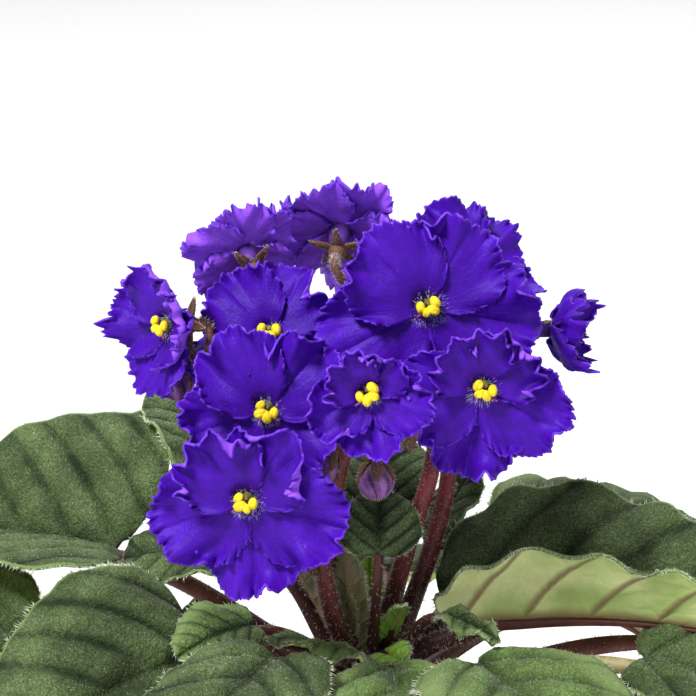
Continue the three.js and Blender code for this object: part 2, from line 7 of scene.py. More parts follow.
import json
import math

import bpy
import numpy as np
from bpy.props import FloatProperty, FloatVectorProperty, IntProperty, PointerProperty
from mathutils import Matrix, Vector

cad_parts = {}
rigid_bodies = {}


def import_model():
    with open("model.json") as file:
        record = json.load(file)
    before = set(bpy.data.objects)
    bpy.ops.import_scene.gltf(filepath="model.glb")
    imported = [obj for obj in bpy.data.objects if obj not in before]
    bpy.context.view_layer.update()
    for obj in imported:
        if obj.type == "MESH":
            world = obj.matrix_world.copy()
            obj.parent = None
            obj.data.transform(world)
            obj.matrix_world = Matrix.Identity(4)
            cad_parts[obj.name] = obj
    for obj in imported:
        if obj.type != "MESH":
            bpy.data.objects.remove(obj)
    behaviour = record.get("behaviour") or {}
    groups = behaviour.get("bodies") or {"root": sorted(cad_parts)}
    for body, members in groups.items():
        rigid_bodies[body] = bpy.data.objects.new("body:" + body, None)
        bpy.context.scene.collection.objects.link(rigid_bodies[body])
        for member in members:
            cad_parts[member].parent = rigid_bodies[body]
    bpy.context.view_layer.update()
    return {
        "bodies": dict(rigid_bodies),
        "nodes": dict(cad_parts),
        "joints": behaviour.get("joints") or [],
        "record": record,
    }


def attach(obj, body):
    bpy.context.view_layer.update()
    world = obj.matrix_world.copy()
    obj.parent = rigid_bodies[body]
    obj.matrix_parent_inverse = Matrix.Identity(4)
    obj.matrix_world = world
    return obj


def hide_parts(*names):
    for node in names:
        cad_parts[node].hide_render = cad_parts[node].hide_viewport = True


bl_info = {
    "name": "Potted African Violet",
    "version": (1, 0, 0),
    "blender": (4, 5, 0),
    "location": "3D View > Sidebar > African Violet",
    "description": "Grows a flowering African violet in its pot, with hairy leaves and ruffled blooms",
    "category": "Object",
}

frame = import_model()

MM = 0.001
BODY = "root"

# Pot, in millimetres. The foot of its rim and its two lips are slopes, as (breadth, height).
POT_HEIGHT, POT_RIM_RADIUS, POT_RIM_HEIGHT, POT_RIM_STEP = 88, 60, 17, 3
POT_BASE_RADIUS, POT_WALL, POT_FLOOR, POT_FOOT = 43, 3.2, 4, 2
POT_CHAMFER, POT_ROUNDING, POT_SIDES = 1, 0.5, 96
RIM_FOOT, LIP_OUTSIDE, LIP_INSIDE = (0.8, 1), (1.2, 1.5), (0.8, 2)
DRAIN_HOLES, DRAIN_RADIUS, DRAIN_CIRCLE, DRILL_LENGTH = 5, 3.5, 24, 20

# Soil. Its lumps die out from SOIL_LEVEL, a share of its radius, to its edge.
SOIL_BELOW_RIM, SOIL_DOME, SOIL_LUMP, SOIL_GRAIN, SOIL_LEVEL, SOIL_RINGS = 3, 9, 1.1, 0.35, 0.93, 24
SOIL_TOP = POT_HEIGHT - SOIL_BELOW_RIM
SEAT_GAP = 0.3
# Radii of the loose crumbs and the white grains, crumbs to one white grain, and their distance from the edge
CRUMB_RADII, GRAIN_RADII, CRUMBS_TO_GRAIN, CRUMB_MARGIN = (0.5, 1.7), (0.6, 1.3), 14, 2.2

# Crown, and the seats of the petioles on it
CROWN_RADIUS, CROWN_ROOT_RADIUS, CROWN_TIP_RADIUS, CROWN_SIDES = 8.5, 4, 1.2, 32
CROWN_BOTTOM, CROWN_SHOULDER, CROWN_TOP = 66, 112, 116.5
SCAR_DEPTH, SCARS_ROUND, SCAR_TWIST = 0.3, 5, 0.9
SEAT_SPACING, SEAT_STEP, SEAT_CLEAR, SEAT_DEPTH = 5.4, 0.5, 1, 0.6
# Young leaves longer than this sheathe the crown
SHEATH_LENGTH = 15

# Petioles. Each meets its blade at PETIOLE_JOIN, a share of the blade's length, where PETIOLE_NECK is left
# of its radius. It bites a little into the blade, and goes on under it along MIDRIB_SPAN as its midrib. The
# midrib's radius is a share of the petiole's at the base, and is given in millimetres at the tip.
PETIOLE_RADIUS, PETIOLE_JOIN, PETIOLE_NECK, PETIOLE_BITE, PETIOLE_SWELL = 2.3, 0.12, 0.74, 0.4, 0.32
MIDRIB_SPAN, MIDRIB_ROOT, MIDRIB_TIP, MIDRIB_DEPTH = (0.2, 0.93), 0.7, 0.25, 0.45

# Blades. A leaf of FULL_LENGTH by FULL_WIDTH is full-grown, and the relief is full from RELIEF_LENGTH on.
FULL_LENGTH, FULL_WIDTH, RELIEF_LENGTH, LEAF_BLUNT = 60, 52, 45, 0.02
# Side veins to a leaf and their least spacing, how they slant and bend outwards, and the widths of the side
# veins and the midrib, as shares of the spacing
SIDE_VEINS, VEIN_SPACING, VEIN_SLANT, VEIN_BEND, VEIN_WIDTH, MIDRIB_WIDTH = 4.8, 4, 0.62, 0.1, 0.17, 0.22
# Teeth along a margin and their depth as a share of its breadth, its waves, and the crinkles to a wave
LEAF_TEETH, LEAF_TOOTH, LEAF_WAVES, LEAF_CRINKLES = 13, 0.026, 2.6, 3.3
# How round the crease along the midrib is, and how far the margin curls down, as a share of the half's width
LEAF_CREASE, LEAF_CURL = 0.5, 0.12

# Blooms: the step between two layers of petals, the share of a petal's outline that is its root, the angle
# of its claw in degrees, and the heights of its ruffles and its sag as shares of the reach
PETAL_LAYER, PETAL_ROOT, PETAL_CLAW, PETAL_RUFFLE, PETAL_SAG = 1.3, 0.13, 24, 0.075, 0.06
# A petal's frills, with more for each millimetre of reach, the height of a frill and the depth of a tooth in
# millimetres, the share of the petal that isn't rolled, and the number of its random rolls
PETAL_FRILLS, FRILLS_A_MM, PETAL_FRILL, PETAL_TOOTH, PETAL_FREE, PETAL_ROLLS = 7.6, 0.589, 1.2, 0.5, 0.66, 6
PETAL_COLUMNS_A_MM, PETAL_ROWS = 3.4, 11
# The tube behind the petals: the radius of its mouth as a share of the reach, and of its root, how far it
# stands before the throat and behind it, the thickness of its rim and the depth of its hollow
TUBE_MOUTH, TUBE_RADIUS, TUBE_FRONT, TUBE_BACK, TUBE_RIM, TUBE_HOLLOW = 0.15, 1.8, 0.1, 5.5, 0.7, 3
# The outer and the inner pollen sac of one side: the turn in radians, and the place
POLLEN_SACS = ((0.25, (1.7, 0.5, 2.5)), (0.8, (0.75, -1.0, 2.8)))
SAC_SHAPE, FILAMENT_RADIUS = (0.95, 1.3, 0.95), 0.3
BUD_LENGTH, BUD_RADIUS = 8.2, 3.8

# Flower stalks and the thin flower stems, whose radii are given at both ends
STALK_RADII, STALK_SWELL, STEM_RADII, STEM_NECK, STEM_IN_CUP = (2.3, 1.9), 0.2, (1.0, 0.85), 4, 0.6
# A calyx: the (height, radius) of the rings of its cup, and its sepals. It stays behind the throat by behind.
# Its sepals go out to reach and forward by rise, or else hug the share hug of a bud.
CALYX_RINGS = ((-2.4, 1.0), (-1.8, 1.7), (-1.0, 2.1), (-0.2, 2.0))
SEPALS, SEPAL_WIDTH, SEPAL_CURL, SEPAL_THICKNESS, SEPAL_MESH = 5, 1.15, 0.35, 0.6, (8, 12)
BLOOM_CALYX = {"reach": 6.8, "rise": 0.8, "behind": TUBE_BACK + SEAT_GAP}
BUD_CALYX = {"reach": 4.9, "rise": 5.6, "behind": SEAT_GAP, "hug": 0.62}
SPENT_CALYX = {"reach": 4.2, "rise": 5.6, "behind": SEAT_GAP}

# Hairs on a leaf's rim: how many to a millimetre of its length, and how long beside those on its face
RIM_HAIRS_A_MM, RIM_HAIR_LENGTH = 13, 2.4
# Other hairs: how many in all or to a millimetre, how long in millimetres, and how wide beside a rim hair
PETIOLE_HAIRS_A_MM, PETIOLE_HAIR_LENGTH, PETIOLE_HAIR_WIDTH = 7, 1.4, 0.6
CROWN_HAIRS, CROWN_HAIR_LENGTH, CROWN_HAIR_WIDTH = 1500, 2.0, 0.7
STALK_HAIRS, STALK_HAIR_LENGTH = 1000, 1.1
STEM_HAIRS_A_MM, STEM_HAIR_LENGTH, STEM_HAIR_WIDTH = 12, 1.3, 0.65
SEPAL_HAIRS, SEPAL_HAIR_LENGTHS = 80, (0.5, 1.3)
BUD_HAIRS, BUD_HAIR_LENGTHS, BUD_HAIR_WIDTH = 260, (0.3, 0.7), 0.6
THROAT_HAIRS, THROAT_HAIR_LENGTHS, THROAT_HAIR_WIDTH = 320, (0.7, 1.8), 0.35
# How many hairs the back of a long young leaf has to each on its face, and how wide beside a rim hair
BACK_HAIR_SHARE, BACK_HAIR_WIDTH = 0.5, 0.5
# How deep a hair is rooted, and how near two vertices of a blade become one
HAIR_ROOT, WELD = 0.1, 0.004

# Each leaf's blade starts at base, as (azimuth, distance from the crown's axis, height), and its size is
# (length, width). The midrib leaves the base at pitch and bends down by droop along the blade, turned
# sideways by turn. The blade is rolled about the midrib, and its halves fold up by fold. right is the width
# of the half to the right of the midrib, as a share, and lift is how much more this half folds up. skew
# widens the blade near its base, lobe draws its base back beside the petiole, and crinkle crumples its waves.
LEAVES = {
    "leaf_outer_01": dict(base=(187, 80, 120), size=(60, 54), pitch=-2, droop=30, roll=24, fold=12),
    "leaf_outer_02": dict(base=(323, 53, 113), size=(54, 38), pitch=-4, droop=40, roll=2, fold=8),
    "leaf_outer_03": dict(base=(342, 66, 117), size=(58, 44), pitch=-4, droop=34, roll=-12, fold=10),
    "leaf_outer_04": dict(base=(86, 62, 111), size=(60, 52), pitch=-6, droop=34, roll=0, fold=8),
    "leaf_outer_05": dict(base=(136, 68, 102), size=(60, 52), pitch=-32, droop=26, roll=0, fold=8),
    "leaf_outer_06": dict(base=(48, 64, 107), size=(60, 52), pitch=-12, droop=30, roll=0, fold=8),
    "leaf_outer_07": dict(base=(252, 52, 109), size=(54, 31), pitch=-10, droop=40, roll=0, fold=10),
    "leaf_outer_08": dict(base=(2, 66, 115), size=(62, 50), pitch=-4, droop=26, roll=-6, fold=10),
    "leaf_mid_01": dict(
        base=(170, 61, 133), size=(60, 56), pitch=2, droop=12, roll=24, fold=40, turn=-14,
        skew=1, lobe=0.32,
    ),
    "leaf_mid_02": dict(
        base=(209, 46, 117.5), size=(52, 53), pitch=0, droop=40, roll=40, fold=12, turn=6, skew=0.4
    ),
    "leaf_mid_03": dict(base=(278, 33, 119), size=(50, 34), pitch=0, droop=46, roll=0, fold=6),
    "leaf_mid_04": dict(base=(304, 42, 121), size=(53, 45), pitch=2, droop=42, roll=0, fold=8),
    "leaf_mid_05": dict(
        base=(350, 21, 120), size=(74, 64), pitch=12, droop=24, roll=-14, fold=54, right=0.72, lift=24,
        crinkle=0.9,
    ),
    "leaf_mid_06": dict(base=(28, 44, 137), size=(62, 52), pitch=4, droop=40, roll=0, fold=8),
    "leaf_mid_07": dict(base=(112, 48, 119), size=(56, 50), pitch=-2, droop=36, roll=0, fold=10),
    "leaf_mid_08": dict(base=(144, 36, 146), size=(34, 34), pitch=40, droop=10, roll=0, fold=12),
    "leaf_mid_09": dict(base=(240, 42, 123), size=(50, 38), pitch=0, droop=50, roll=0, fold=8),
    "leaf_inner_01": dict(base=(178, 28, 136), size=(30, 25), pitch=4, droop=20, roll=18, fold=12),
    "leaf_inner_02": dict(base=(214, 33, 124), size=(20, 18), pitch=4, droop=30, roll=26, fold=12),
    "leaf_inner_03": dict(
        base=(262, 20, 117.5), size=(23, 11.5), pitch=20, droop=6, roll=-6, fold=4, turn=-64
    ),
    "leaf_inner_04": dict(base=(82, 20, 137), size=(25, 25), pitch=48, droop=20, roll=0, fold=12),
    "leaf_inner_05": dict(base=(38, 20, 134), size=(23, 14), pitch=62, droop=20, roll=0, fold=14),
    "leaf_inner_06": dict(
        base=(276, 17.5, 141.5), size=(14.5, 18.5), pitch=66, droop=10, roll=0, fold=6, turn=-190
    ),
    "leaf_inner_07": dict(base=(312, 25, 127), size=(18, 7), pitch=0, droop=10, roll=-10, fold=12),
}

# How much of each colour a leaf reflects beside a full-grown one. Leaves in no list below are full-grown.
LEAF_TONES = {"full-grown": (1, 1, 1), "shaded": (0.95, 0.95, 1.0), "fresh": (1.3, 1.4, 1.0)}
# The backs of the young leaves: lime ones, and longer ones that sheathe the crown, whose dark back is partly
# their grey hairy underside and partly painted shade
YOUNG_BACKS = {"young": (0.20, 0.34, 0.045), "sheath": (0.21, 0.19, 0.11)}
# How far the paler border of a leaf shows
LEAF_GLOW = {"fresh": 0.7, "young": 0.3}
# The shaded tone is painted shade: a darker copy of the leaf colours for leaves that lie in shade
SHADED_LEAVES = ("leaf_mid_05", "leaf_inner_06")
# The fresh tone is partly the brighter green of fresher leaves and partly painted light on leaves that catch
# more light
FRESH_LIT_LEAVES = (
    "leaf_mid_03", "leaf_mid_04", "leaf_mid_06", "leaf_inner_02", "leaf_inner_03", "leaf_inner_07",
    "leaf_outer_07",
)
PALE_PETIOLES = ("leaf_outer_03",)

# The youngest leaves, still upright in the middle of the crown
YOUNG_LEAVES = [
    dict(base=(298, 9.5, 118), size=(12, 7), pitch=64, droop=20, roll=0, fold=26),
    dict(base=(290, 9.5, 113.5), size=(14, 10), pitch=14, droop=6, roll=-20, fold=26),
    dict(base=(228, 9, 118), size=(17, 10), pitch=72, droop=-14, roll=0, fold=20),
    dict(base=(90, 5, 120), size=(12, 8), pitch=70, droop=10, roll=0, fold=34),
    dict(base=(247, 7.4, 115), size=(27, 8.6), pitch=74, droop=-4, roll=0, fold=12),
    dict(base=(206, 9, 116), size=(28, 14), pitch=66, droop=6, roll=0, fold=16),
]

# The four flower stalks, as points from the crown to the fork where the flower stems part
STALKS = {
    "right": [(2, -1, 104), (4.5, -4, 121), (8.5, -10, 140), (13.5, -11, 157), (16, -8, 171)],
    "back": [(3, 0, 104), (9, 1, 120), (15, 2, 138), (18.5, 5, 154), (16, 9, 172)],
    "middle": [(-2, 1, 104), (-4, 0, 120), (-8, -7, 138), (-8, -12, 154), (-5, -12, 168)],
    "left": [(-2, -4, 106), (-5.5, -9.5, 115.5), (-9.5, -17, 130), (-13, -17, 148), (-20, -8, 165)],
}

# Each bloom's throat is at the point at, and the bloom faces an azimuth and an elevation, turned by spin.
# Its stem leaves the stalk's tip, or the share branch of the stalk, and goes by the points via. reach is the
# length of its lower petals, and cup is how far forward the petals' tips stand. shares lengthens or shortens
# single petals. folds rolls stretches of their margins: each is (petal, place along its margin, angle,
# spread). The margins of crumpled petals are rolled up all the way round, a little at a time.
BLOOMS = {
    "bloom_01": dict(stalk="right", at=(12.6, -24, 200.9), face=(272, 14), spin=6, reach=26, cup=1),
    "bloom_02": dict(stalk="back", at=(21, 2, 203.5), face=(288, 34), spin=-20, reach=20, cup=2),
    "bloom_03": dict(
        stalk="right", at=(41, -9, 192), face=(345, 6), spin=30, reach=13, cup=9, via=[(27, -17, 181)],
        folds=[(petal, place, 165, 0.09) for petal in range(5) for place in (0.2, 0.4, 0.62, 0.82)],
    ),
    "bloom_04": dict(
        stalk="right", at=(24.2, -40, 186.8), face=(276, 4), spin=-8, reach=21, cup=2,
        via=[(20, -24, 170), (23, -30.5, 178)], shares={0: 0.82, 1: 0.88}, crumpled=(0, 1),
    ),
    "bloom_05": dict(
        stalk="middle", at=(-0.5, -46, 187.4), face=(262, 8), spin=10, reach=15, cup=6,
        via=[(0, -28, 176)], shares={0: 0.85, 1: 0.85}, crumpled=(0,),
        folds=[
            (1, 0.6, 100, 0.12), (2, 0.4, 130, 0.14), (2, 0.75, 110, 0.1), (4, 0.6, 70, 0.12),
        ],
    ),
    "bloom_06": dict(
        stalk="left", at=(-22.9, -30, 178.9), face=(264, 10), spin=0, reach=21.2, cup=1,
        via=[(-20.5, -16, 166), (-22, -23, 171)], shares={0: 1.18, 1: 1.16, 3: 0.86},
        folds=[(1, 0.2, 90, 0.14), (0, 0.75, 60, 0.1), (3, 0.5, 50, 0.15)],
    ),
    "bloom_07": dict(
        stalk="left", at=(-26.9, -48, 163.9), face=(260, 2), spin=4, reach=23, cup=1,
        branch=0.5, via=[(-20, -29, 147), (-24, -37.5, 155)], crumpled=(0,),
        folds=[(1, 0.28, 160, 0.08), (1, 0.62, 120, 0.08)],
    ),
    "bloom_08": dict(
        stalk="left", at=(-45.3, -18, 195.2), face=(222, 8), spin=-16, reach=17.2, cup=4,
        via=[(-28, -18, 168), (-36, -25, 180)], shares={1: 0.75, 3: 0.62},
        folds=[(1, 0.5, 140, 0.3), (0, 0.3, 80, 0.2), (3, 0.5, 110, 0.25), (2, 0.5, 60, 0.2)],
    ),
    "bloom_09": dict(stalk="left", at=(-22.7, -10, 191), face=(262, 30), spin=10, reach=21, cup=1),
    "bloom_10": dict(stalk="back", at=(-7, 13, 210), face=(84, 38), spin=0, reach=19, cup=0),
    "bloom_11": dict(stalk="back", at=(-28.5, 5.2, 206.8), face=(109, 29), spin=26, reach=15.2, cup=2),
}

# Blooms that wither: they crumple, and their backs darken
WITHERED = ("bloom_03",)

BUDS = {
    "bud_left": dict(
        stalk="left", at=(-43.5, -9, 183.5), face=(250, -75),
        via=[(-28, -17, 168), (-36, -20, 181), (-41, -14, 189)],
    ),
    "bud_middle": dict(stalk="middle", at=(0.9, -34, 168), face=(275, -66)),
    "bud_inner": dict(stalk="middle", at=(-9.8, -20, 167), face=(230, -64)),
}

# Calyces whose blooms have fallen
SPENT = [dict(stalk="right", at=(11, -27, 173.5), face=(268, -62), via=[(13.5, -16, 178)])]

# Two short upper petals lie over three longer lower ones. Each is (angle from the bloom's top, length and
# breadth as shares of its reach, layer).
PETALS = [(36, 0.82, 0.98, 3), (-36, 0.82, 0.98, 2), (110, 1, 1.02, 1), (-110, 1, 1.02, 1), (180, 1, 1.06, 0)]

# Fixed colours, in linear light
DOWN_SHEEN = (0.75, 0.85, 0.62, 1)
# Painted shade for stems deep in the crown
STEM_SHADE = (0.022, 0.010, 0.009)
# PETAL_TUBE is the petals' back colour, darkened as painted shade in the throat
THROAT_HAIR, OVARY, PETAL_TUBE = (0.85, 0.82, 0.88), (0.13, 0.12, 0.035), (0.10, 0.03, 0.27)
BUD_BASE = (0.30, 0.26, 0.22)
LIME_BLOOM = (0.62, 0.42, 0.32)
PERLITE, PERLITE_PALE = (0.62, 0.60, 0.55), (0.78, 0.76, 0.72)


def measure(name, description, value):
    """A length property with its default given in millimetres"""
    return FloatProperty(
        name=name, description=description, default=value * MM, unit="LENGTH", precision=5
    )


class VioletSizes(bpy.types.PropertyGroup):
    """The sizes of the plant's fine detail"""

    leaf_thickness: measure("Leaf thickness", "Thickness of a leaf blade", 1.0)
    leaf_mesh: measure("Leaf mesh", "Width of one face of a leaf blade", 1.15)
    vein_depth: measure("Vein depth", "Depth of the side veins in a leaf", 1.0)
    quilt_height: measure("Quilt height", "Height of the puffs between a leaf's veins", 2.1)
    hair_length: measure("Hair length", "Length of the hairs on the leaves", 0.95)
    hair_width: measure("Hair width", "Width of a hair at its root", 0.085)
    rim_hair_width: measure("Rim hair width", "Width of the stouter hairs on rims and stems", 0.27)
    hairs_per_leaf: IntProperty(
        name="Hairs on a leaf", description="Hairs on the upper face of a full-grown leaf", default=2300
    )
    petal_thickness: measure("Petal thickness", "Thickness of a petal", 0.5)
    crumbs: IntProperty(name="Soil crumbs", description="Crumbs of bark and peat on the soil", default=900)


def colour(name, description, value):
    """A colour property with its default in linear light"""
    return FloatVectorProperty(
        name=name, description=description, default=value, subtype="COLOR", size=3, min=0, max=1
    )


class VioletColours(bpy.types.PropertyGroup):
    """The colours of the plant, its pot and its soil"""

    leaf: colour("Leaf", "Upper face of the leaves", (0.010, 0.021, 0.004))
    # The paler leaf colour, laid on random blotches and as painted light on the puffs
    leaf_light: colour("Leaf puffs", "Raised parts between the veins", (0.066, 0.108, 0.024))
    leaf_margin: colour("Leaf margin", "Edge of the leaves", (0.19, 0.27, 0.09))
    leaf_under: colour("Leaf underside", "Lower face of the leaves", (0.84, 0.93, 0.42))
    leaf_under_vein: colour("Underside veins", "Veins of the lower face", (0.24, 0.125, 0.07))
    young_leaf: colour("Young leaf", "Leaves still in the crown", (0.17, 0.32, 0.022))
    petiole: colour("Petiole", "Leaf stems", (0.085, 0.022, 0.018))
    petiole_pale: colour("Pale petiole", "Leaf stems that grew in shade", (0.26, 0.22, 0.10))
    hair: colour("Leaf hair", "Hairs of the leaves", (0.66, 0.72, 0.54))
    stem_hair: colour("Stem hair", "Hairs of the leaf stems and flower stalks", (0.58, 0.46, 0.41))
    stalk: colour("Flower stalk", "Flower stalks", (0.12, 0.016, 0.018))
    flower_stem: colour("Flower stem", "Thin stems of single flowers", (0.085, 0.032, 0.022))
    sepal: colour("Sepal", "Sepals of blooms and buds", (0.11, 0.050, 0.028))
    petal: colour("Petal", "Face of the petals", (0.056, 0.004, 0.34))
    # The pale rim of the petals, partly their own tint and partly painted highlight where light catches the
    # edge
    petal_rim_and_highlight: colour("Petal margin", "Ruffled edge of the petals", (0.17, 0.05, 0.66))
    petal_back: colour("Petal back", "Back of the petals", (0.29, 0.085, 0.84))
    bud: colour("Bud", "Petals that are still folded", (0.20, 0.075, 0.27))
    throat: colour("Throat", "Middle of a bloom", (0.022, 0.006, 0.10))
    anther: colour("Anther", "Pollen sacs", (0.93, 0.68, 0.008))
    style: colour("Style", "The thread that carries the stigma", (0.16, 0.02, 0.13))
    clay: colour("Clay", "The pot", (0.45, 0.15, 0.065))
    soil: colour("Soil", "Peat and bark", (0.030, 0.016, 0.009))
    floor: colour("Floor", "The floor under the pot", (0.88, 0.88, 0.88))


# Small helpers


def unit(vector):
    return vector / np.maximum(np.linalg.norm(vector, axis=-1, keepdims=True), 1e-12)


def heading(azimuth, elevation):
    a, e = math.radians(azimuth), math.radians(elevation)
    return np.array([math.cos(a) * math.cos(e), math.sin(a) * math.cos(e), math.sin(e)])


def scatter(seed):
    """A repeatable number from 0 to 1 for each whole number"""
    x = math.sin(seed * 127.1 + 11.7) * 43758.5453
    return x - math.floor(x)


def smoothstep(low, high, x):
    t = np.clip((x - low) / (high - low), 0, 1)
    return t * t * (3 - 2 * t)


def lerp(a, b, t):
    return a + (b - a) * t


def bump(x, width):
    return np.exp(-((x / width) ** 2))


def spun(points, angle):
    """Points turned about the z axis by an angle in radians"""
    x, y, z = np.moveaxis(np.asarray(points, float), -1, 0)
    c, s = math.cos(angle), math.sin(angle)
    return np.stack([x * c - y * s, x * s + y * c, z], axis=-1)


def catmull_rom(points, count):
    """Points along the centripetal curve through the given ones, count to a stretch"""
    points = [np.array(p, float) for p in points]
    points = [2 * points[0] - points[1], *points, 2 * points[-1] - points[-2]]
    path = []
    for p0, p1, p2, p3 in zip(points, points[1:], points[2:], points[3:]):
        t1, t2, t3 = (math.sqrt(np.linalg.norm(b - a)) for a, b in ((p0, p1), (p1, p2), (p2, p3)))
        start = ((p1 - p0) / t1 - (p2 - p0) / (t1 + t2) + (p2 - p1) / t2) * t2
        end = ((p2 - p1) / t2 - (p3 - p1) / (t2 + t3) + (p3 - p2) / t3) * t2
        for i in range(count):
            t = i / count
            bend = (2 * p1 - 2 * p2 + start + end) * t**3 + (-3 * p1 + 3 * p2 - 2 * start - end) * t**2
            path.append(p1 + start * t + bend)
    return np.array([*path, points[-2]])


def point_along(path, share):
    """The point at a share of a path's length"""
    steps = np.linalg.norm(np.diff(path, axis=0), axis=1)
    reached = np.concatenate([[0], np.cumsum(steps)]) / steps.sum()
    return np.array([np.interp(share, reached, path[:, k]) for k in range(3)])


# Modelling


def activate(piece):
    bpy.ops.object.select_all(action="DESELECT")
    piece.select_set(True)
    bpy.context.view_layer.objects.active = piece


def new_primitive(kind, name, **settings):
    """A Blender primitive, added with nothing else selected"""
    bpy.ops.object.select_all(action="DESELECT")
    getattr(bpy.ops.mesh, f"primitive_{kind}_add")(**settings)
    piece = bpy.context.object
    piece.name = piece.data.name = name
    return piece


def settle(piece):
    """Moves a piece's place and turn into its mesh"""
    activate(piece)
    bpy.ops.object.transform_apply(location=True, rotation=True, scale=True)


def finish_with(piece, kind, **settings):
    """Adds a modifier with its settings and applies it"""
    modifier = piece.modifiers.new(kind.title(), kind)
    for name, value in settings.items():
        setattr(modifier, name, value)
    activate(piece)
    bpy.ops.object.modifier_apply(modifier=modifier.name)


def weld(piece, distance):
    activate(piece)
    bpy.ops.object.mode_set(mode="EDIT")
    bpy.ops.mesh.select_all(action="SELECT")
    bpy.ops.mesh.remove_doubles(threshold=distance)
    bpy.ops.object.mode_set(mode="OBJECT")


def coordinates(piece):
    """The piece's vertices, as one row each"""
    rows = np.empty(len(piece.data.vertices) * 3)
    piece.data.vertices.foreach_get("co", rows)
    return rows.reshape(-1, 3)


def place_vertices(piece, points):
    """Sets the piece's vertices, given in millimetres"""
    piece.data.vertices.foreach_set("co", (np.asarray(points) * MM).ravel())
    piece.data.update()


def mark(piece, name, values):
    """Stores a vector for each vertex, which the materials read by its name"""
    attribute = piece.data.attributes.new(name, "FLOAT_VECTOR", "POINT")
    attribute.data.foreach_set("vector", np.asarray(values, float).ravel())


def soften(piece):
    piece.data.shade_smooth()


def joined(name, pieces):
    """One object of several, with all their materials"""
    bpy.ops.object.select_all(action="DESELECT")
    for piece in pieces:
        piece.select_set(True)
    bpy.context.view_layer.objects.active = pieces[0]
    bpy.ops.object.join()
    piece = bpy.context.object
    piece.name = piece.data.name = name
    return piece


def shaped_sheet(name, columns, rows, surface, thickness, materials):
    """A thin closed blade: a grid whose vertices go where surface(u, v) puts them, given its thickness

    surface returns the points, and for each the vector that the materials read. The first material is
    the face's and the second the back's. Vertices that meet, as they do at a point, become one.
    """
    piece = new_primitive("grid", name, x_subdivisions=columns, y_subdivisions=rows, size=1)
    share = coordinates(piece) + 0.5
    points, traits = surface(share[:, 0], share[:, 1])
    place_vertices(piece, points)
    mark(piece, "blade", traits)
    piece.data.flip_normals()
    for material in materials:
        piece.data.materials.append(material)
    weld(piece, WELD * MM)
    finish_with(piece, "SOLIDIFY", thickness=thickness, offset=0, material_offset=1, use_quality_normals=True)
    soften(piece)
    return piece


def tube(name, path, radii, material, roundness=2):
    """A closed round stem along a path, with a radius at each of its points"""
    curve = bpy.data.curves.new(name, "CURVE")
    curve.dimensions = "3D"
    curve.bevel_depth = MM
    curve.bevel_resolution = roundness
    curve.use_fill_caps = True
    spline = curve.splines.new("POLY")
    spline.points.add(len(path) - 1)
    for point, place, radius in zip(spline.points, path, radii):
        point.co = (*(np.asarray(place) * MM), 1)
        point.radius = radius
    piece = bpy.data.objects.new(name, curve)
    bpy.context.collection.objects.link(piece)
    curve.materials.append(material)
    activate(piece)
    bpy.ops.object.convert(target="MESH")
    piece = bpy.context.object
    soften(piece)
    return piece


def mesh_of(name, points, faces, material):
    """A mesh of three-sided faces, from points in millimetres"""
    mesh = bpy.data.meshes.new(name)
    mesh.vertices.add(len(points))
    mesh.vertices.foreach_set("co", (points * MM).ravel())
    mesh.loops.add(faces.size)
    mesh.loops.foreach_set("vertex_index", faces.ravel())
    mesh.polygons.add(len(faces))
    mesh.polygons.foreach_set("loop_start", np.arange(0, faces.size, 3))
    mesh.update(calc_edges=True)
    mesh.materials.append(material)
    piece = bpy.data.objects.new(name, mesh)
    bpy.context.collection.objects.link(piece)
    return piece


def hairs(name, roots, directions, lengths, width, material):
    """Fine closed three-sided hairs, one at each root. width is one for all, or one for each."""
    along = unit(directions)
    helper = np.where(np.abs(along[:, 2:]) < 0.9, [[0, 0, 1]], [[1, 0, 0]])
    across = unit(np.cross(along, helper))
    third = np.cross(along, across)
    thick = np.broadcast_to(width, len(roots))[:, None] / 2
    corners = []
    for turn in (0, 120, 240):
        a = math.radians(turn)
        corners.append(roots + thick * (math.cos(a) * across + math.sin(a) * third) - HAIR_ROOT * along)
    corners.append(roots + along * lengths[:, None])
    points = np.stack(corners, axis=1).reshape(-1, 3)
    sides = np.array([[0, 1, 3], [1, 2, 3], [2, 0, 3], [0, 2, 1]])
    faces = (np.arange(len(roots))[:, None, None] * 4 + sides[None]).reshape(-1, 3)
    return mesh_of(name, points, faces, material)


def stem_hairs(name, path, radii, count, length, width, material, rng):
    """Hairs that stand out all round a stem"""
    path, radii = np.asarray(path, float), np.asarray(radii, float)
    place = rng.random(count) * (len(path) - 1)
    low = np.minimum(place.astype(int), len(path) - 2)
    part = (place - low)[:, None]
    middle = path[low] * (1 - part) + path[low + 1] * part
    along = unit(path[low + 1] - path[low])
    outward = unit(np.cross(along, rng.normal(size=(count, 3))))
    radius = np.interp(place, np.arange(len(path)), radii)[:, None]
    lean = outward + 0.35 * rng.normal(size=(count, 3))
    lengths = length * rng.uniform(0.5, 1.1, count)
    return hairs(name, middle + outward * radius * 0.95, lean, lengths, width, material)


def ready(piece, slot, *nodes):
    """Hands a finished piece to the frame"""
    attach(piece, BODY)
    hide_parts(*nodes)


# Materials. A pattern's scale is in cells to a metre.


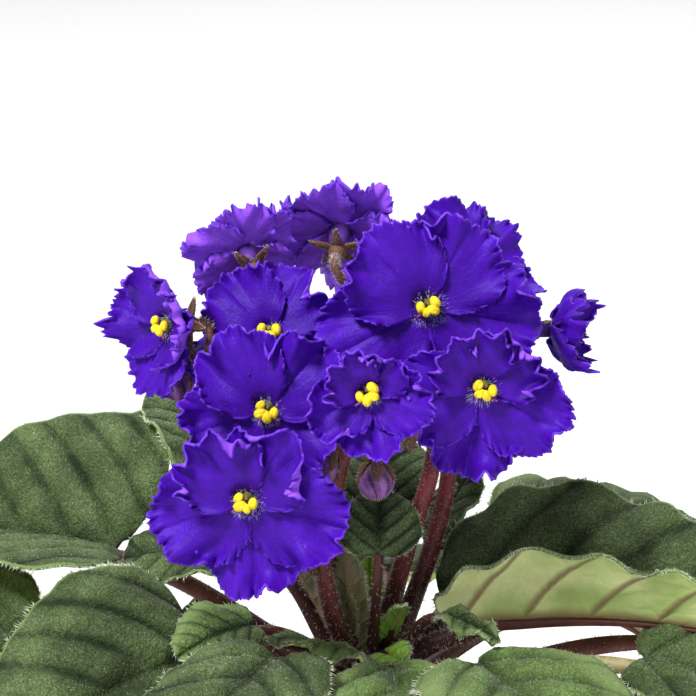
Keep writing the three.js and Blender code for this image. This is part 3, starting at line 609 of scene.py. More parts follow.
class Finish:
    """A material in the making: its surface shader and the pattern nodes that feed it"""

    def __init__(self, name, roughness, **sockets):
        self.material = bpy.data.materials.new(name)
        self.material.use_nodes = True
        self.tree = self.material.node_tree
        self.surface = self.tree.nodes["Principled BSDF"]
        self.surface.inputs["Roughness"].default_value = roughness
        for socket, value in sockets.items():
            self.surface.inputs[socket.replace("_", " ")].default_value = value

    def node(self, kind, inputs=None, **settings):
        node = self.tree.nodes.new(f"ShaderNode{kind}")
        for name, value in settings.items():
            setattr(node, name, value)
        for socket, value in (inputs or {}).items():
            if isinstance(value, bpy.types.NodeSocket):
                self.tree.links.new(value, node.inputs[socket])
            else:
                node.inputs[socket].default_value = value
        return node

    def math(self, operation, *values):
        return self.node("Math", dict(enumerate(values)), operation=operation).outputs[0]

    def times(self, first, second):
        return self.math("MULTIPLY", first, second)

    def plus(self, first, second):
        return self.math("ADD", first, second)

    def minus(self, first, second):
        return self.math("SUBTRACT", first, second)

    def place(self):
        return self.node("TexCoord").outputs["Object"]

    def trait(self):
        """The three numbers that shaped_sheet stores on a blade"""
        vector = self.node("Attribute", attribute_name="blade").outputs["Vector"]
        return self.node("SeparateXYZ", {0: vector}).outputs

    def noise(self, scale, detail=3, vector=None):
        inputs = {"Vector": vector or self.place(), "Scale": scale, "Detail": detail}
        return self.node("TexNoise", inputs).outputs["Fac"]

    def cells(self, scale):
        inputs = {"Vector": self.place(), "Scale": scale}
        return self.node("TexVoronoi", inputs, feature="DISTANCE_TO_EDGE").outputs["Distance"]

    def ramp(self, value, low, high, start=0, end=1):
        inputs = {0: value, 1: low, 2: high, 3: start, 4: end}
        return self.node("MapRange", inputs, interpolation_type="SMOOTHSTEP").outputs[0]

    def mix(self, share, first, second):
        node = self.node("Mix", data_type="RGBA")
        for socket, value in ((0, share), (6, first), (7, second)):
            if isinstance(value, bpy.types.NodeSocket):
                self.tree.links.new(value, node.inputs[socket])
            else:
                node.inputs[socket].default_value = value if socket == 0 else (*value, 1)
        return node.outputs[2]

    def done(self, base, height=None, depth=0.2):
        """Sets the base colour, and the bump from a height of 0 to 1 over a depth in millimetres"""
        self.tree.links.new(base, self.surface.inputs["Base Color"])
        if height is not None:
            inputs = {"Height": height, "Strength": 1.0, "Distance": depth * MM}
            node = self.node("Bump", inputs)
            self.tree.links.new(node.outputs[0], self.surface.inputs["Normal"])
        return self.material


def toned(tint, by, lift=0):
    """A darker or lighter tone of a colour"""
    return [min(1, by * part + lift) for part in tint]


def leaf_veins(finish, width):
    """How near a place on a blade is to a vein and to the edge, and the painted light on the puffs between
    veins, brightest at their crests and on one side
    """
    along, across, edge = finish.trait()
    slant = finish.times(across, VEIN_SLANT)
    bend = finish.times(finish.times(across, across), VEIN_BEND)
    phase = finish.math("FRACT", finish.minus(finish.minus(along, slant), bend))
    part = finish.math("ABSOLUTE", finish.minus(phase, 0.5))
    side = finish.ramp(part, 0.5 - width, 0.5)
    midrib = finish.ramp(across, 0.06, 0.22, 1, 0)
    # Painted light: the puffs are lit at their crests and lighter on one side than the other
    crest = finish.times(finish.ramp(part, 0.5, 0.18), finish.ramp(across, 0.08, 0.7))
    puff_light = finish.times(crest, finish.ramp(phase, 0.05, 0.95, 0.55, 1))
    return finish.math("MAXIMUM", side, midrib), edge, puff_light


def leaf_face(name, tint, light, margin, glow):
    """Velvety: the down catches the light where the blade turns away. glow is how pale its border is."""
    finish = Finish(
        name, 0.6, Specular_IOR_Level=0.2, Sheen_Weight=0.12, Sheen_Roughness=0.35, Sheen_Tint=DOWN_SHEEN
    )
    veins, edge, puff_light = leaf_veins(finish, 0.14)
    net = finish.ramp(finish.cells(420), 0, 0.25, 1, 0)
    down = finish.ramp(finish.noise(2100, 2), 0.34, 0.72)
    blotch = finish.ramp(finish.noise(75, 4), 0.38, 0.62)
    # Random blotches, and painted light on the puffs, give the paler leaf colour
    blotch_and_puff_light = finish.plus(finish.times(blotch, 0.5), finish.times(puff_light, 0.5))
    dark = toned(tint, 0.5)
    base = finish.mix(blotch_and_puff_light, tint, light)
    base = finish.mix(finish.times(net, 0.3), base, dark)
    base = finish.mix(finish.times(finish.ramp(edge, 0.55, 0.95), glow), base, margin)
    # Painted shade: the sunken veins are darkened
    base = finish.mix(finish.times(veins, 0.4), base, dark)
    # The pale down: partly the hairs' own colour, partly painted sheen that is strongest where the puffs are
    # lit
    hoar_and_sheen = finish.times(down, finish.plus(finish.times(blotch_and_puff_light, 0.7), 0.03))
    base = finish.mix(hoar_and_sheen, base, toned(light, 1.5, 0.08))
    base = finish.mix(finish.ramp(edge, 0.975, 1), base, margin)
    lines = finish.plus(veins, finish.times(net, 0.3))
    return finish.done(base, finish.minus(finish.times(down, 0.4), lines), 0.35)


def leaf_back(name, tint, vein, strength):
    """Pale between its veins, with darker patches. strength is how far the veins show."""
    finish = Finish(name, 0.6, Specular_IOR_Level=0.25)
    veins, _, _ = leaf_veins(finish, 0.12)
    net = finish.ramp(finish.noise(420, 4), 0.35, 0.65)
    shade = [part * by for part, by in zip(tint, (0.55, 0.68, 0.45))]
    base = finish.mix(finish.ramp(finish.noise(55, 2), 0.38, 0.66), tint, shade)
    base = finish.mix(finish.times(net, 0.2), base, toned(tint, 0.7))
    base = finish.mix(finish.times(veins, strength), base, vein)
    return finish.done(base, finish.plus(veins, finish.times(net, 0.3)), 0.3)


def stem_finish(name, tint, roughness=0.5):
    """Flecked, with painted shade where it is deep in the crown"""
    finish = Finish(name, roughness, Specular_IOR_Level=0.3)
    base = finish.mix(finish.ramp(finish.noise(140), 0.35, 0.7), tint, toned(tint, 1.6, 0.004))
    fleck = finish.ramp(finish.noise(900, 1), 0.6, 0.75)
    base = finish.mix(finish.times(fleck, 0.4), base, toned(tint, 0.5))
    # Painted shade: darker towards the middle of the crown
    crown = (0, 0, CROWN_SHOULDER * MM)
    apart = finish.node("VectorMath", {0: finish.place(), 1: crown}, operation="DISTANCE").outputs["Value"]
    base = finish.mix(finish.ramp(apart, 0.012, 0.05, 0.8, 0), base, STEM_SHADE)
    return finish.done(base, finish.noise(1200), 0.15)


def hair_finish(name, tint):
    finish = Finish(name, 0.45)
    return finish.done(finish.mix(finish.noise(60), tint, toned(tint, 0.8)))


def petal_face(name, tint, margin, throat):
    """Mottled and finely streaked from the throat out, with a pale rim that is partly the edge's own tint and
    partly painted highlight, and a dark middle
    """
    finish = Finish(name, 0.5, Specular_IOR_Level=0.12)
    turn, size, out = finish.trait()
    along = finish.node("CombineXYZ", {0: finish.times(turn, 46), 1: size}).outputs[0]
    streak = finish.noise(1, 3, along)
    mottle = finish.noise(420, 4)
    base = finish.mix(finish.ramp(mottle, 0.35, 0.68), toned(tint, 0.85), toned(tint, 1.12))
    base = finish.mix(finish.times(finish.ramp(streak, 0.5, 0.72), 0.35), base, toned(tint, 0.5))
    # The pale rim: partly the edge's own tint, partly painted highlight, in patches
    rim = finish.times(finish.ramp(size, 0.965, 1), finish.ramp(mottle, 0.3, 0.62, 0.1, 0.9))
    base = finish.mix(rim, base, margin)
    base = finish.mix(finish.ramp(out, 0.3, 0.75, 0.35, 0), base, toned(tint, 0.55))
    base = finish.mix(finish.ramp(out, 0.05, 0.2, 1, 0), base, throat)
    return finish.done(base, finish.plus(finish.noise(1500, 2), finish.times(streak, 0.8)), 0.16)


def bud_finish(name, tint):
    """Folded petals, with painted shade in the folds between them and painted highlights on their ridges"""
    finish = Finish(name, 0.5, Specular_IOR_Level=0.2)
    pleat, height, _ = finish.trait()
    mottle = finish.ramp(finish.noise(500, 4), 0.35, 0.65)
    base = finish.mix(mottle, toned(tint, 0.7), toned(tint, 1.3))
    # Painted shade in the folds, and painted highlight on the ridges
    base = finish.mix(finish.ramp(pleat, 0.05, 0.5, 0.85, 0), base, toned(tint, 0.2))
    base = finish.mix(finish.ramp(pleat, 0.75, 1, 0, 0.5), base, toned(tint, 1.8, 0.05))
    base = finish.mix(finish.ramp(height, 0.1, 0.5, 0.6, 0), base, BUD_BASE)
    return finish.done(base, mottle, 0.2)


def pollen_finish(name, tint):
    finish = Finish(name, 0.7)
    base = finish.mix(finish.ramp(finish.noise(900), 0.35, 0.65), tint, toned(tint, 0.72))
    return finish.done(base, finish.noise(3200, 2), 0.12)


def clay_finish(name, tint):
    """Fired clay with specks, a faint bloom of lime and the rings of turning"""
    finish = Finish(name, 0.86)
    base = finish.mix(finish.ramp(finish.noise(28, 5), 0.35, 0.7), tint, toned(tint, 0.78))
    bloom = finish.times(finish.ramp(finish.noise(11, 6), 0.55, 0.75), 0.35)
    base = finish.mix(bloom, base, LIME_BLOOM)
    speck = finish.ramp(finish.noise(700, 1), 0.68, 0.78)
    base = finish.mix(finish.times(speck, 0.5), base, toned(tint, 0.5))
    height = finish.node("SeparateXYZ", {0: finish.place()}).outputs[2]
    rings = finish.math("SINE", finish.times(height, 2600))
    return finish.done(base, finish.plus(finish.times(rings, 0.12), finish.noise(420, 5)), 0.25)


def soil_finish(name, tint, pale):
    finish = Finish(name, 0.95)
    base = finish.mix(finish.ramp(finish.noise(260, 5), 0.35, 0.68), tint, pale)
    return finish.done(base, finish.noise(900, 5), 0.5)


def plain_finish(name, tint, roughness):
    finish = Finish(name, roughness)
    return finish.done(finish.mix(finish.noise(200), tint, toned(tint, 0.9)))


FINISHES = {}


def finish_named(name, make, *values):
    """A material by name, made once"""
    if name not in FINISHES:
        FINISHES[name] = make(name, *values)
    return FINISHES[name]


def hair_material(context, kind="leaf"):
    colours = context.scene.violet_colours
    tint = colours.hair if kind == "leaf" else colours.stem_hair
    return finish_named(f"{kind} hair", hair_finish, tuple(tint))


def leaf_materials(context, tone):
    """The face and the back of a leaf. Its tone is one of LEAF_TONES or of YOUNG_BACKS."""
    colours = context.scene.violet_colours
    vein, margin = tuple(colours.leaf_under_vein), tuple(colours.leaf_margin)
    back = finish_named("leaf back", leaf_back, tuple(colours.leaf_under), vein, 0.8)
    if tone in YOUNG_BACKS:
        tint, light = tuple(colours.young_leaf), toned(colours.young_leaf, 1.5)
        back = finish_named(f"{tone} back", leaf_back, YOUNG_BACKS[tone], vein, 0.4)
    else:
        scale = LEAF_TONES[tone]
        tint = [part * by for part, by in zip(colours.leaf, scale)]
        light = [part * by for part, by in zip(colours.leaf_light, scale)]
    glow = LEAF_GLOW.get(tone, 0)
    return finish_named(f"{tone} leaf", leaf_face, tint, light, margin, glow), back


# The pot, its soil and the crown


def pot_inner_radius(height):
    """The radius of the pot's inside at a height above its base"""
    share = (height - POT_FLOOR) / (POT_HEIGHT - POT_FLOOR)
    return lerp(POT_BASE_RADIUS - POT_WALL, POT_RIM_RADIUS - POT_RIM_STEP - POT_WALL, share)


def raised_disc(name, outline, sides):
    """A turned solid, raised in edit mode: a disc that is extruded and scaled through (radius, height)"""
    (radius, height), *rest = outline
    piece = new_primitive(
        "circle", name, vertices=sides, radius=radius * MM, fill_type="NGON", location=(0, 0, height * MM)
    )
    settle(piece)
    bpy.ops.object.mode_set(mode="EDIT")
    bpy.ops.mesh.select_all(action="SELECT")
    for next_radius, next_height in rest:
        bpy.ops.mesh.extrude_region_move(
            TRANSFORM_OT_translate={"value": (0, 0, (next_height - height) * MM)}
        )
        share = next_radius / radius
        bpy.ops.transform.resize(value=(share, share, 1), center_override=(0, 0, next_height * MM))
        radius, height = next_radius, next_height
    bpy.ops.mesh.select_all(action="SELECT")
    bpy.ops.mesh.normals_make_consistent(inside=False)
    bpy.ops.object.mode_set(mode="OBJECT")
    return piece


class VIOLET_OT_pot(bpy.types.Operator):
    """Add the clay pot, raised from a disc, with drainage holes cut in its floor"""

    bl_idname = "violet.pot"
    bl_label = "Pot"

    def execute(self, context):
        rim_bottom = POT_HEIGHT - POT_RIM_HEIGHT
        lip_bottom = POT_HEIGHT - LIP_INSIDE[1]
        outline = [
            (POT_BASE_RADIUS - POT_CHAMFER, 0),
            (POT_BASE_RADIUS, POT_FOOT),
            (POT_RIM_RADIUS - POT_RIM_STEP - POT_CHAMFER, rim_bottom),
            (POT_RIM_RADIUS - RIM_FOOT[0], rim_bottom + RIM_FOOT[1]),
            (POT_RIM_RADIUS, POT_HEIGHT - LIP_OUTSIDE[1]),
            (POT_RIM_RADIUS - LIP_OUTSIDE[0], POT_HEIGHT),
            (pot_inner_radius(POT_HEIGHT) + LIP_INSIDE[0], POT_HEIGHT),
            (pot_inner_radius(lip_bottom), lip_bottom),
            (pot_inner_radius(POT_FLOOR), POT_FLOOR),
        ]
        pot = raised_disc("clay_pot", outline, POT_SIDES)
        size = {"radius": DRAIN_RADIUS * MM, "depth": DRILL_LENGTH * MM}
        drills = []
        for i in range(DRAIN_HOLES):
            place = heading(360 / DRAIN_HOLES * i, 0) * DRAIN_CIRCLE * MM
            drills.append(new_primitive("cylinder", "drill", location=place, **size))
        drill = joined("drill", drills)
        finish_with(pot, "BOOLEAN", object=drill, operation="DIFFERENCE", solver="EXACT")
        bpy.data.objects.remove(drill)
        finish_with(
            pot, "BEVEL", width=POT_ROUNDING * MM, segments=3, limit_method="ANGLE", angle_limit=0.5
        )
        activate(pot)
        bpy.ops.object.shade_smooth_by_angle(angle=math.radians(35))
        clay = clay_finish("fired clay", tuple(context.scene.violet_colours.clay))
        pot.data.materials.append(clay)
        ready(pot, "pot", "pot")
        return {"FINISHED"}


def soil_height(x, y, edge):
    """The soil's surface: a low dome with lumps of two sizes and a finer grain"""
    share = np.hypot(x, y) / edge
    lump = np.sin(x * 0.31 + 1) * np.cos(y * 0.37) + 0.6 * np.sin(x * 0.83) * np.sin(y * 0.71 + 2)
    lump = SOIL_LUMP * lump + SOIL_GRAIN * np.sin(2.1 * x) * np.sin(1.9 * y)
    return SOIL_TOP + SOIL_DOME * (1 - share**2) + lump * (1 - smoothstep(SOIL_LEVEL, 1, share))


class VIOLET_OT_soil(bpy.types.Operator):
    """Add the soil that fills the pot, with crumbs of bark and peat and a few white grains on top"""

    bl_idname = "violet.soil"
    bl_label = "Soil"

    def execute(self, context):
        colours, sizes = context.scene.violet_colours, context.scene.violet_sizes
        bottom = POT_FLOOR + SEAT_GAP
        edge = pot_inner_radius(SOIL_TOP) - SEAT_GAP
        rings = [(edge * i / SOIL_RINGS, SOIL_TOP) for i in range(SOIL_RINGS, 0, -1)]
        outline = [(pot_inner_radius(bottom) - SEAT_GAP, bottom), *rings]
        soil = raised_disc("soil_body", outline, POT_SIDES)
        points = coordinates(soil) / MM
        top = points[:, 2] > SOIL_TOP - 1
        points[top, 2] = soil_height(points[top, 0], points[top, 1], edge)
        place_vertices(soil, points)
        soften(soil)
        tint = tuple(colours.soil)
        soil.data.materials.append(soil_finish("peat", tint, toned(tint, 2.2)))

        rng = np.random.default_rng(11)
        grain = new_primitive("ico_sphere", "grain", subdivisions=1, radius=1)
        shape = coordinates(grain)
        corners = np.array([list(face.vertices) for face in grain.data.polygons])
        bpy.data.objects.remove(grain)
        bark = soil_finish("bark crumb", toned(tint, 1.3), toned(tint, 3.6))
        white = soil_finish("perlite", PERLITE, PERLITE_PALE)
        heaps = [soil]
        for name, count, radii, material in (
            ("crumbs", sizes.crumbs, CRUMB_RADII, bark),
            ("perlite", sizes.crumbs // CRUMBS_TO_GRAIN, GRAIN_RADII, white),
        ):
            reach = (edge - CRUMB_MARGIN) * np.sqrt(rng.uniform(0.04, 1, count))
            turn = rng.uniform(0, 2 * math.pi, count)
            x, y = reach * np.cos(turn), reach * np.sin(turn)
            radius = rng.uniform(*radii, count)[:, None, None]
            stretch = rng.uniform(0.55, 1.2, (count, len(shape), 1)) * rng.uniform(0.6, 1.3, (count, 1, 3))
            centre = np.stack([x, y, soil_height(x, y, edge) + 0.3 * radius[:, 0, 0]], axis=1)
            points = (shape[None] * radius * stretch * [1, 1, 0.7] + centre[:, None]).reshape(-1, 3)
            faces = (np.arange(count)[:, None, None] * len(shape) + corners[None]).reshape(-1, 3)
            heaps.append(mesh_of(name, points, faces, material))
        ready(joined("potting_soil", heaps), "soil", "soil")
        return {"FINISHED"}


# Leaves


class LeafForm:
    """The form of one leaf in millimetres: its midrib, and its blade's surface with veins and puffs"""

    def __init__(
        self, base, size, pitch, droop, roll, fold,
        turn=0, skew=0.22, lobe=0.16, wave=1.6, right=1, lift=0, crinkle=0.3, seed=0,
    ):
        azimuth, reach, height = base
        self.length, self.width = size
        self.base = heading(azimuth, 0) * reach + [0, 0, height]
        self.pointing = azimuth + turn
        self.pitch, self.start = pitch, math.radians(pitch)
        self.bend = math.radians(droop) / self.length
        self.roll, self.fold = math.radians(roll), math.radians(fold)
        self.skew, self.lobe, self.wave, self.seed = skew, lobe, wave, seed
        self.right, self.lift, self.crinkle = right, math.radians(lift), crinkle
        self.vein_depth = bpy.context.scene.violet_sizes.vein_depth / MM
        self.spacing = max(self.length / SIDE_VEINS, VEIN_SPACING)
        self.relief_scale = min(1, self.length / RELIEF_LENGTH)

    def frame_at(self, distance):
        """The directions at a distance along the midrib: forward, to the left, and the way the blade faces"""
        slope = self.start - self.bend * np.maximum(distance, 0)
        level, across = heading(self.pointing, 0), heading(self.pointing + 90, 0)
        forward = np.cos(slope)[..., None] * level + np.sin(slope)[..., None] * np.array([0, 0, 1])
        up = np.cross(forward, across)
        c, s = math.cos(self.roll), math.sin(self.roll)
        return forward, across * c - up * s, up * c + across * s

    def midrib(self, distance):
        """Points of the midrib, an arc that goes on straight behind the base"""
        distance = np.asarray(distance, float)[..., None]
        ahead = np.maximum(distance, 0)
        slope = self.start - self.bend * ahead
        out = (math.sin(self.start) - np.sin(slope)) / self.bend
        up = (np.cos(slope) - math.cos(self.start)) / self.bend
        behind = np.minimum(distance, 0) * heading(self.pointing, self.pitch)
        return self.base + heading(self.pointing, 0) * out + np.array([0, 0, 1]) * up + behind

    def half_width(self, v):
        return self.width / 2 * np.sin(math.pi * v) * (1 + self.skew * np.cos(math.pi * v))

    def surface(self, u, share, sizes):
        """Points of the blade, what its materials read, and the way it faces"""
        across = 2 * u - 1
        far = np.abs(across)
        v = lerp(LEAF_BLUNT, 1 - LEAF_BLUNT, share)
        tooth = np.abs(np.sin(math.pi * LEAF_TEETH * v + self.seed)) + 0.6 * np.sin(31 * v + 2 * self.seed)
        half = self.half_width(v) * (1 + LEAF_TOOTH * tooth * smoothstep(0.8, 1, far))
        drawn = self.lobe * np.sin(2 * math.pi * v) * (1 - v) ** 2
        edge = (1 - np.cos(math.pi * v)) / 2 - drawn
        distance = self.length * lerp(v**1.4, edge, far**1.3)
        _, side, normal = self.frame_at(distance)
        sideways = across * half * np.where(across < 0, self.right, 1)
        folded = self.fold + np.where(across < 0, self.lift, 0)
        soft = np.sqrt(sideways**2 + LEAF_CREASE) - math.sqrt(LEAF_CREASE)
        rise = soft * np.sin(folded) - LEAF_CURL * half * far**4
        phase = LEAF_WAVES * v + 0.5 * np.sign(across) + scatter(self.seed)
        crinkle = self.crinkle * np.sin(2 * math.pi * LEAF_CRINKLES * phase + self.seed)
        ripple = np.sin(2 * math.pi * phase) + crinkle * smoothstep(0.6, 1, far)
        ripple = self.wave * far**3 * ripple * np.sqrt(np.sin(math.pi * v))
        along, out = distance / self.spacing, np.abs(sideways) / self.spacing
        relief = self.relief(along, out, far, v, sizes)
        points = self.midrib(distance) + side * (sideways * np.cos(folded))[:, None]
        points = points + normal * (rise + ripple + relief)[:, None]
        return points, np.stack([along, out, far], axis=1), normal

    def relief(self, along, out, far, v, sizes):
        """Sunken veins and the puffs between them, which cross veins part, in millimetres"""
        count = along - VEIN_SLANT * out - VEIN_BEND * out**2
        part = np.abs((count + 0.5) % 1 - 0.5)
        open_blade = smoothstep(0, 0.12, v) * (1 - smoothstep(0.9, 1, v))
        midrib = bump(out, MIDRIB_WIDTH)
        veins = self.vein_depth * np.maximum(bump(part, VEIN_WIDTH) * (1 - far**4), midrib)
        cross = np.abs(np.sin(math.pi * (out * 1.7 + 0.5 * np.floor(count + 0.5) + self.seed)))
        puffs = sizes.quilt_height / MM * (2 * part) ** 0.7 * (0.4 + 0.6 * cross**0.6) * (1 - far**4)
        return self.relief_scale * open_blade * (puffs * (1 - midrib) - veins)


def leaf_seats():
    """The height of each petiole's seat: the lowest free one in its leaf's direction"""
    taken, seats = [], {}
    lowest = SOIL_TOP + SOIL_DOME + SOIL_LUMP + PETIOLE_RADIUS + SEAT_CLEAR

    def clashes(azimuth, height):
        turns = [(math.radians((azimuth - a + 180) % 360 - 180), height - h) for a, h in taken]
        return any(math.hypot(turn * CROWN_RADIUS, rise) < SEAT_SPACING for turn, rise in turns)

    for name, leaf in LEAVES.items():
        azimuth, height = leaf["base"][0], lowest
        while clashes(azimuth, height):
            height += SEAT_STEP
        taken.append((azimuth, height))
        seats[name] = height
    return seats


def petiole_path(form, leaf, seat):
    """From the crown along the petiole and on under the blade, with the radii, and the petiole alone"""
    azimuth, reach, height = leaf["base"]
    root = heading(azimuth, 0) * (CROWN_RADIUS - SEAT_DEPTH) + [0, 0, seat]
    run = np.linalg.norm(form.base - root)
    climb = math.degrees(math.atan2(height - seat, reach - CROWN_RADIUS))
    forward, _, normal = form.frame_at(np.array(0.0))
    radius = PETIOLE_RADIUS * min(1, 0.35 + form.length / 90)
    sunk = form.vein_depth * form.relief_scale
    end = form.midrib(form.length * PETIOLE_JOIN) - (PETIOLE_NECK * radius + sunk - PETIOLE_BITE) * normal

    # The petiole, one curve that sets off towards the blade's base and comes in along its midrib
    knots = [root, root + heading(azimuth, climb) * run * 0.4, end - forward * run * 0.45, end]
    t = np.linspace(0, 1, 20)[:, None]
    weights = ((1 - t) ** 3, 3 * t * (1 - t) ** 2, 3 * t**2 * (1 - t), t**3)
    curve = sum(weight * knot for weight, knot in zip(weights, knots))
    t = t[:, 0]
    swell = radius * (1 + PETIOLE_SWELL * bump(t, 0.25)) * lerp(1, PETIOLE_NECK, smoothstep(0.7, 1, t))

    # The midrib, a ridge that thins towards the tip
    share = np.linspace(*MIDRIB_SPAN, 14)
    _, _, normals = form.frame_at(form.length * share)
    ridge = lerp(radius * MIDRIB_ROOT, MIDRIB_TIP, share)
    under = form.midrib(form.length * share) - normals * (ridge + sunk + MIDRIB_DEPTH)[:, None]
    return np.concatenate([curve, under]), np.concatenate([swell, ridge]), curve


def leaf_hairs(form, name, sizes, material, rng, back=False):
    """Short hairs all over a blade's face, longer ones along its margin, and on its back if asked for"""
    length = sizes.hair_length / MM * min(1, 0.5 + form.length / 100)
    fine, stout = sizes.hair_width / MM, sizes.rim_hair_width / MM

    # The face, where only a share of the places drawn at random is kept near the narrow ends
    area = form.length * form.width / (FULL_LENGTH * FULL_WIDTH)
    count = int(sizes.hairs_per_leaf * min(1.2, max(area, 0.12)) * 2)
    u, v = rng.random(count), rng.random(count)
    kept = rng.random(count) < form.half_width(v) / (form.width * 0.55)
    u, v = u[kept], v[kept]
    face, _, normals = form.surface(u, v, sizes)
    forward, _, _ = form.frame_at(v * form.length)
    lean = normals + 0.35 * forward + 0.4 * rng.normal(size=face.shape)
    coats = [(face + normals * 0.3, lean, length * rng.uniform(0.4, 1.0, len(face)), fine)]

    # The margin, where hairs point outwards, back near the base and forward near the tip
    count = int(form.length * RIM_HAIRS_A_MM)
    v = rng.uniform(0.01, 0.99, count)
    sign = np.where(rng.random(count) < 0.5, -1.0, 1.0)
    rim, _, _ = form.surface((sign + 1) / 2, v, sizes)
    forward, side, _ = form.frame_at(v * form.length)
    spread = 0.35 * rng.normal(size=rim.shape)
    outward = side * (sign * np.cos(math.pi * v * 0.9 - 0.35))[:, None]
    lean = outward + forward * (v - 0.25)[:, None] + spread
    lengths = RIM_HAIR_LENGTH * length * rng.uniform(0.3, 1.0, count)
    coats.append((rim, lean, lengths, stout * min(1, 0.6 + form.length / 100)))

    if back:
        kept = rng.random(len(face)) < BACK_HAIR_SHARE
        roots = face[kept] - normals[kept] * 0.4
        lean = 0.4 * rng.normal(size=roots.shape) - normals[kept]
        coats.append((roots, lean, length * rng.uniform(0.5, 1.4, len(roots)), BACK_HAIR_WIDTH * stout))
    roots, lean, lengths = (np.concatenate([coat[i] for coat in coats]) for i in range(3))
    widths = np.concatenate([np.full(len(coat[0]), coat[3]) for coat in coats])
    return hairs(name, roots, lean, lengths, widths, material)


def blade_piece(name, form, sizes, materials):
    columns = max(10, 2 * round(form.width / (sizes.leaf_mesh / MM) / 2))
    rows = max(12, round(form.length / (sizes.leaf_mesh / MM)))

    def surface(u, v):
        points, traits, _ = form.surface(u, v, sizes)
        return points, traits

    return shaped_sheet(name, columns, rows, surface, sizes.leaf_thickness, materials)


class VIOLET_OT_leaves(bpy.types.Operator):
    """Add the full-grown leaves, each a hairy quilted blade on its petiole"""

    bl_idname = "violet.leaves"
    bl_label = "Leaves"

    def execute(self, context):
        colours, sizes = context.scene.violet_colours, context.scene.violet_sizes
        hair = hair_material(context)
        maroon = finish_named("petiole", stem_finish, tuple(colours.petiole))
        pale = finish_named("pale petiole", stem_finish, tuple(colours.petiole_pale))
        width = PETIOLE_HAIR_WIDTH * sizes.rim_hair_width / MM
        seats = leaf_seats()
        for seed, (name, leaf) in enumerate(LEAVES.items(), start=1):
            rng = np.random.default_rng(seed)
            form = LeafForm(**leaf, seed=seed)
            path, radii, petiole = petiole_path(form, leaf, seats[name])
            stem = pale if name in PALE_PETIOLES else maroon
            tone = "shaded" if name in SHADED_LEAVES else "fresh" if name in FRESH_LIT_LEAVES else "full-grown"
            blade = blade_piece(f"{name}_blade", form, sizes, leaf_materials(context, tone))
            down = stem_hairs(
                f"{name}_down", petiole, radii[: len(petiole)], int(form.length * PETIOLE_HAIRS_A_MM),
                PETIOLE_HAIR_LENGTH, width, hair_material(context, "stem"), rng,
            )
            pieces = [blade, tube(f"{name}_stem", path, radii, stem), down]
            pieces.append(leaf_hairs(form, f"{name}_hairs", sizes, hair, rng))
            ready(joined(f"{name}_grown", pieces), "leaf", name)
        return {"FINISHED"}


class VIOLET_OT_crown(bpy.types.Operator):
    """Add the crown, a short scarred stem with the youngest leaves in its middle"""

    bl_idname = "violet.crown"
    bl_label = "Crown"

    def execute(self, context):
        colours, sizes = context.scene.violet_colours, context.scene.violet_sizes
        outline = [(CROWN_ROOT_RADIUS, CROWN_BOTTOM), (CROWN_RADIUS, SOIL_TOP - 4)]
        outline += [(CROWN_RADIUS, height) for height in np.linspace(SOIL_TOP, CROWN_SHOULDER, 8)]
        outline += [(CROWN_RADIUS * 0.6, CROWN_TOP - 1), (CROWN_TIP_RADIUS, CROWN_TOP)]
        stem = raised_disc("crown_stem", outline, CROWN_SIDES)
        points = coordinates(stem) / MM
        turn = np.arctan2(points[:, 1], points[:, 0])
        scars = SCAR_DEPTH * np.sin(SCARS_ROUND * turn + SCAR_TWIST * points[:, 2])
        scars *= points[:, 2] > SOIL_TOP - 6
        points[:, :2] *= (1 + scars / CROWN_RADIUS)[:, None]
        place_vertices(stem, points)
        soften(stem)
        maroon = finish_named("petiole", stem_finish, tuple(colours.petiole))
        stem.data.materials.append(maroon)
        middle = np.linspace((0, 0, SOIL_TOP + 6), (0, 0, CROWN_TOP - 2), 6)
        radii = np.linspace(CROWN_RADIUS, CROWN_RADIUS * 0.7, 6)
        down = stem_hairs(
            "crown_hairs", middle, radii, CROWN_HAIRS, CROWN_HAIR_LENGTH,
            CROWN_HAIR_WIDTH * sizes.rim_hair_width / MM, hair_material(context, "stem"),
            np.random.default_rng(99),
        )
        pieces = [stem, down]
        for seed, leaf in enumerate(YOUNG_LEAVES):
            rng = np.random.default_rng(100 + seed)
            form = LeafForm(**leaf, wave=0.4, seed=seed)
            azimuth, reach, _ = leaf["base"]
            start = heading(azimuth, 0) * reach * 0.5 + [0, 0, CROWN_TOP - 4]
            path = catmull_rom([start, form.base, form.midrib(form.length * 0.2)], 6)
            sheath = form.length > SHEATH_LENGTH
            materials = leaf_materials(context, "sheath" if sheath else "young")
            pieces.append(blade_piece(f"young_leaf_{seed}", form, sizes, materials))
            pieces.append(tube(f"young_stem_{seed}", path, np.linspace(1.2, 0.9, len(path)), maroon))
            down = hair_material(context, "stem" if sheath else "leaf")
            pieces.append(leaf_hairs(form, f"young_hairs_{seed}", sizes, down, rng, back=sheath))
        ready(joined("crown_grown", pieces), "crown", "crown")
        return {"FINISHED"}


# Blooms, buds and their stalks


class FlowerFrame:
    """A flower's own frame: z is the way it faces, y its top, and the origin is its throat"""

    def __init__(self, at, face, spin=0, **_):
        self.at = np.array(at, float)
        self.z = heading(*face)
        x = unit(np.cross([0, 0, 1], self.z))
        y = np.cross(self.z, x)
        c, s = math.cos(math.radians(spin)), math.sin(math.radians(spin))
        self.x, self.y = x * c + y * s, y * c - x * s

    def __call__(self, points):
        """Places points of the flower in the plant"""
        return self.at + self.turned(points)

    def turned(self, directions):
        return np.asarray(directions, float) @ np.stack([self.x, self.y, self.z])


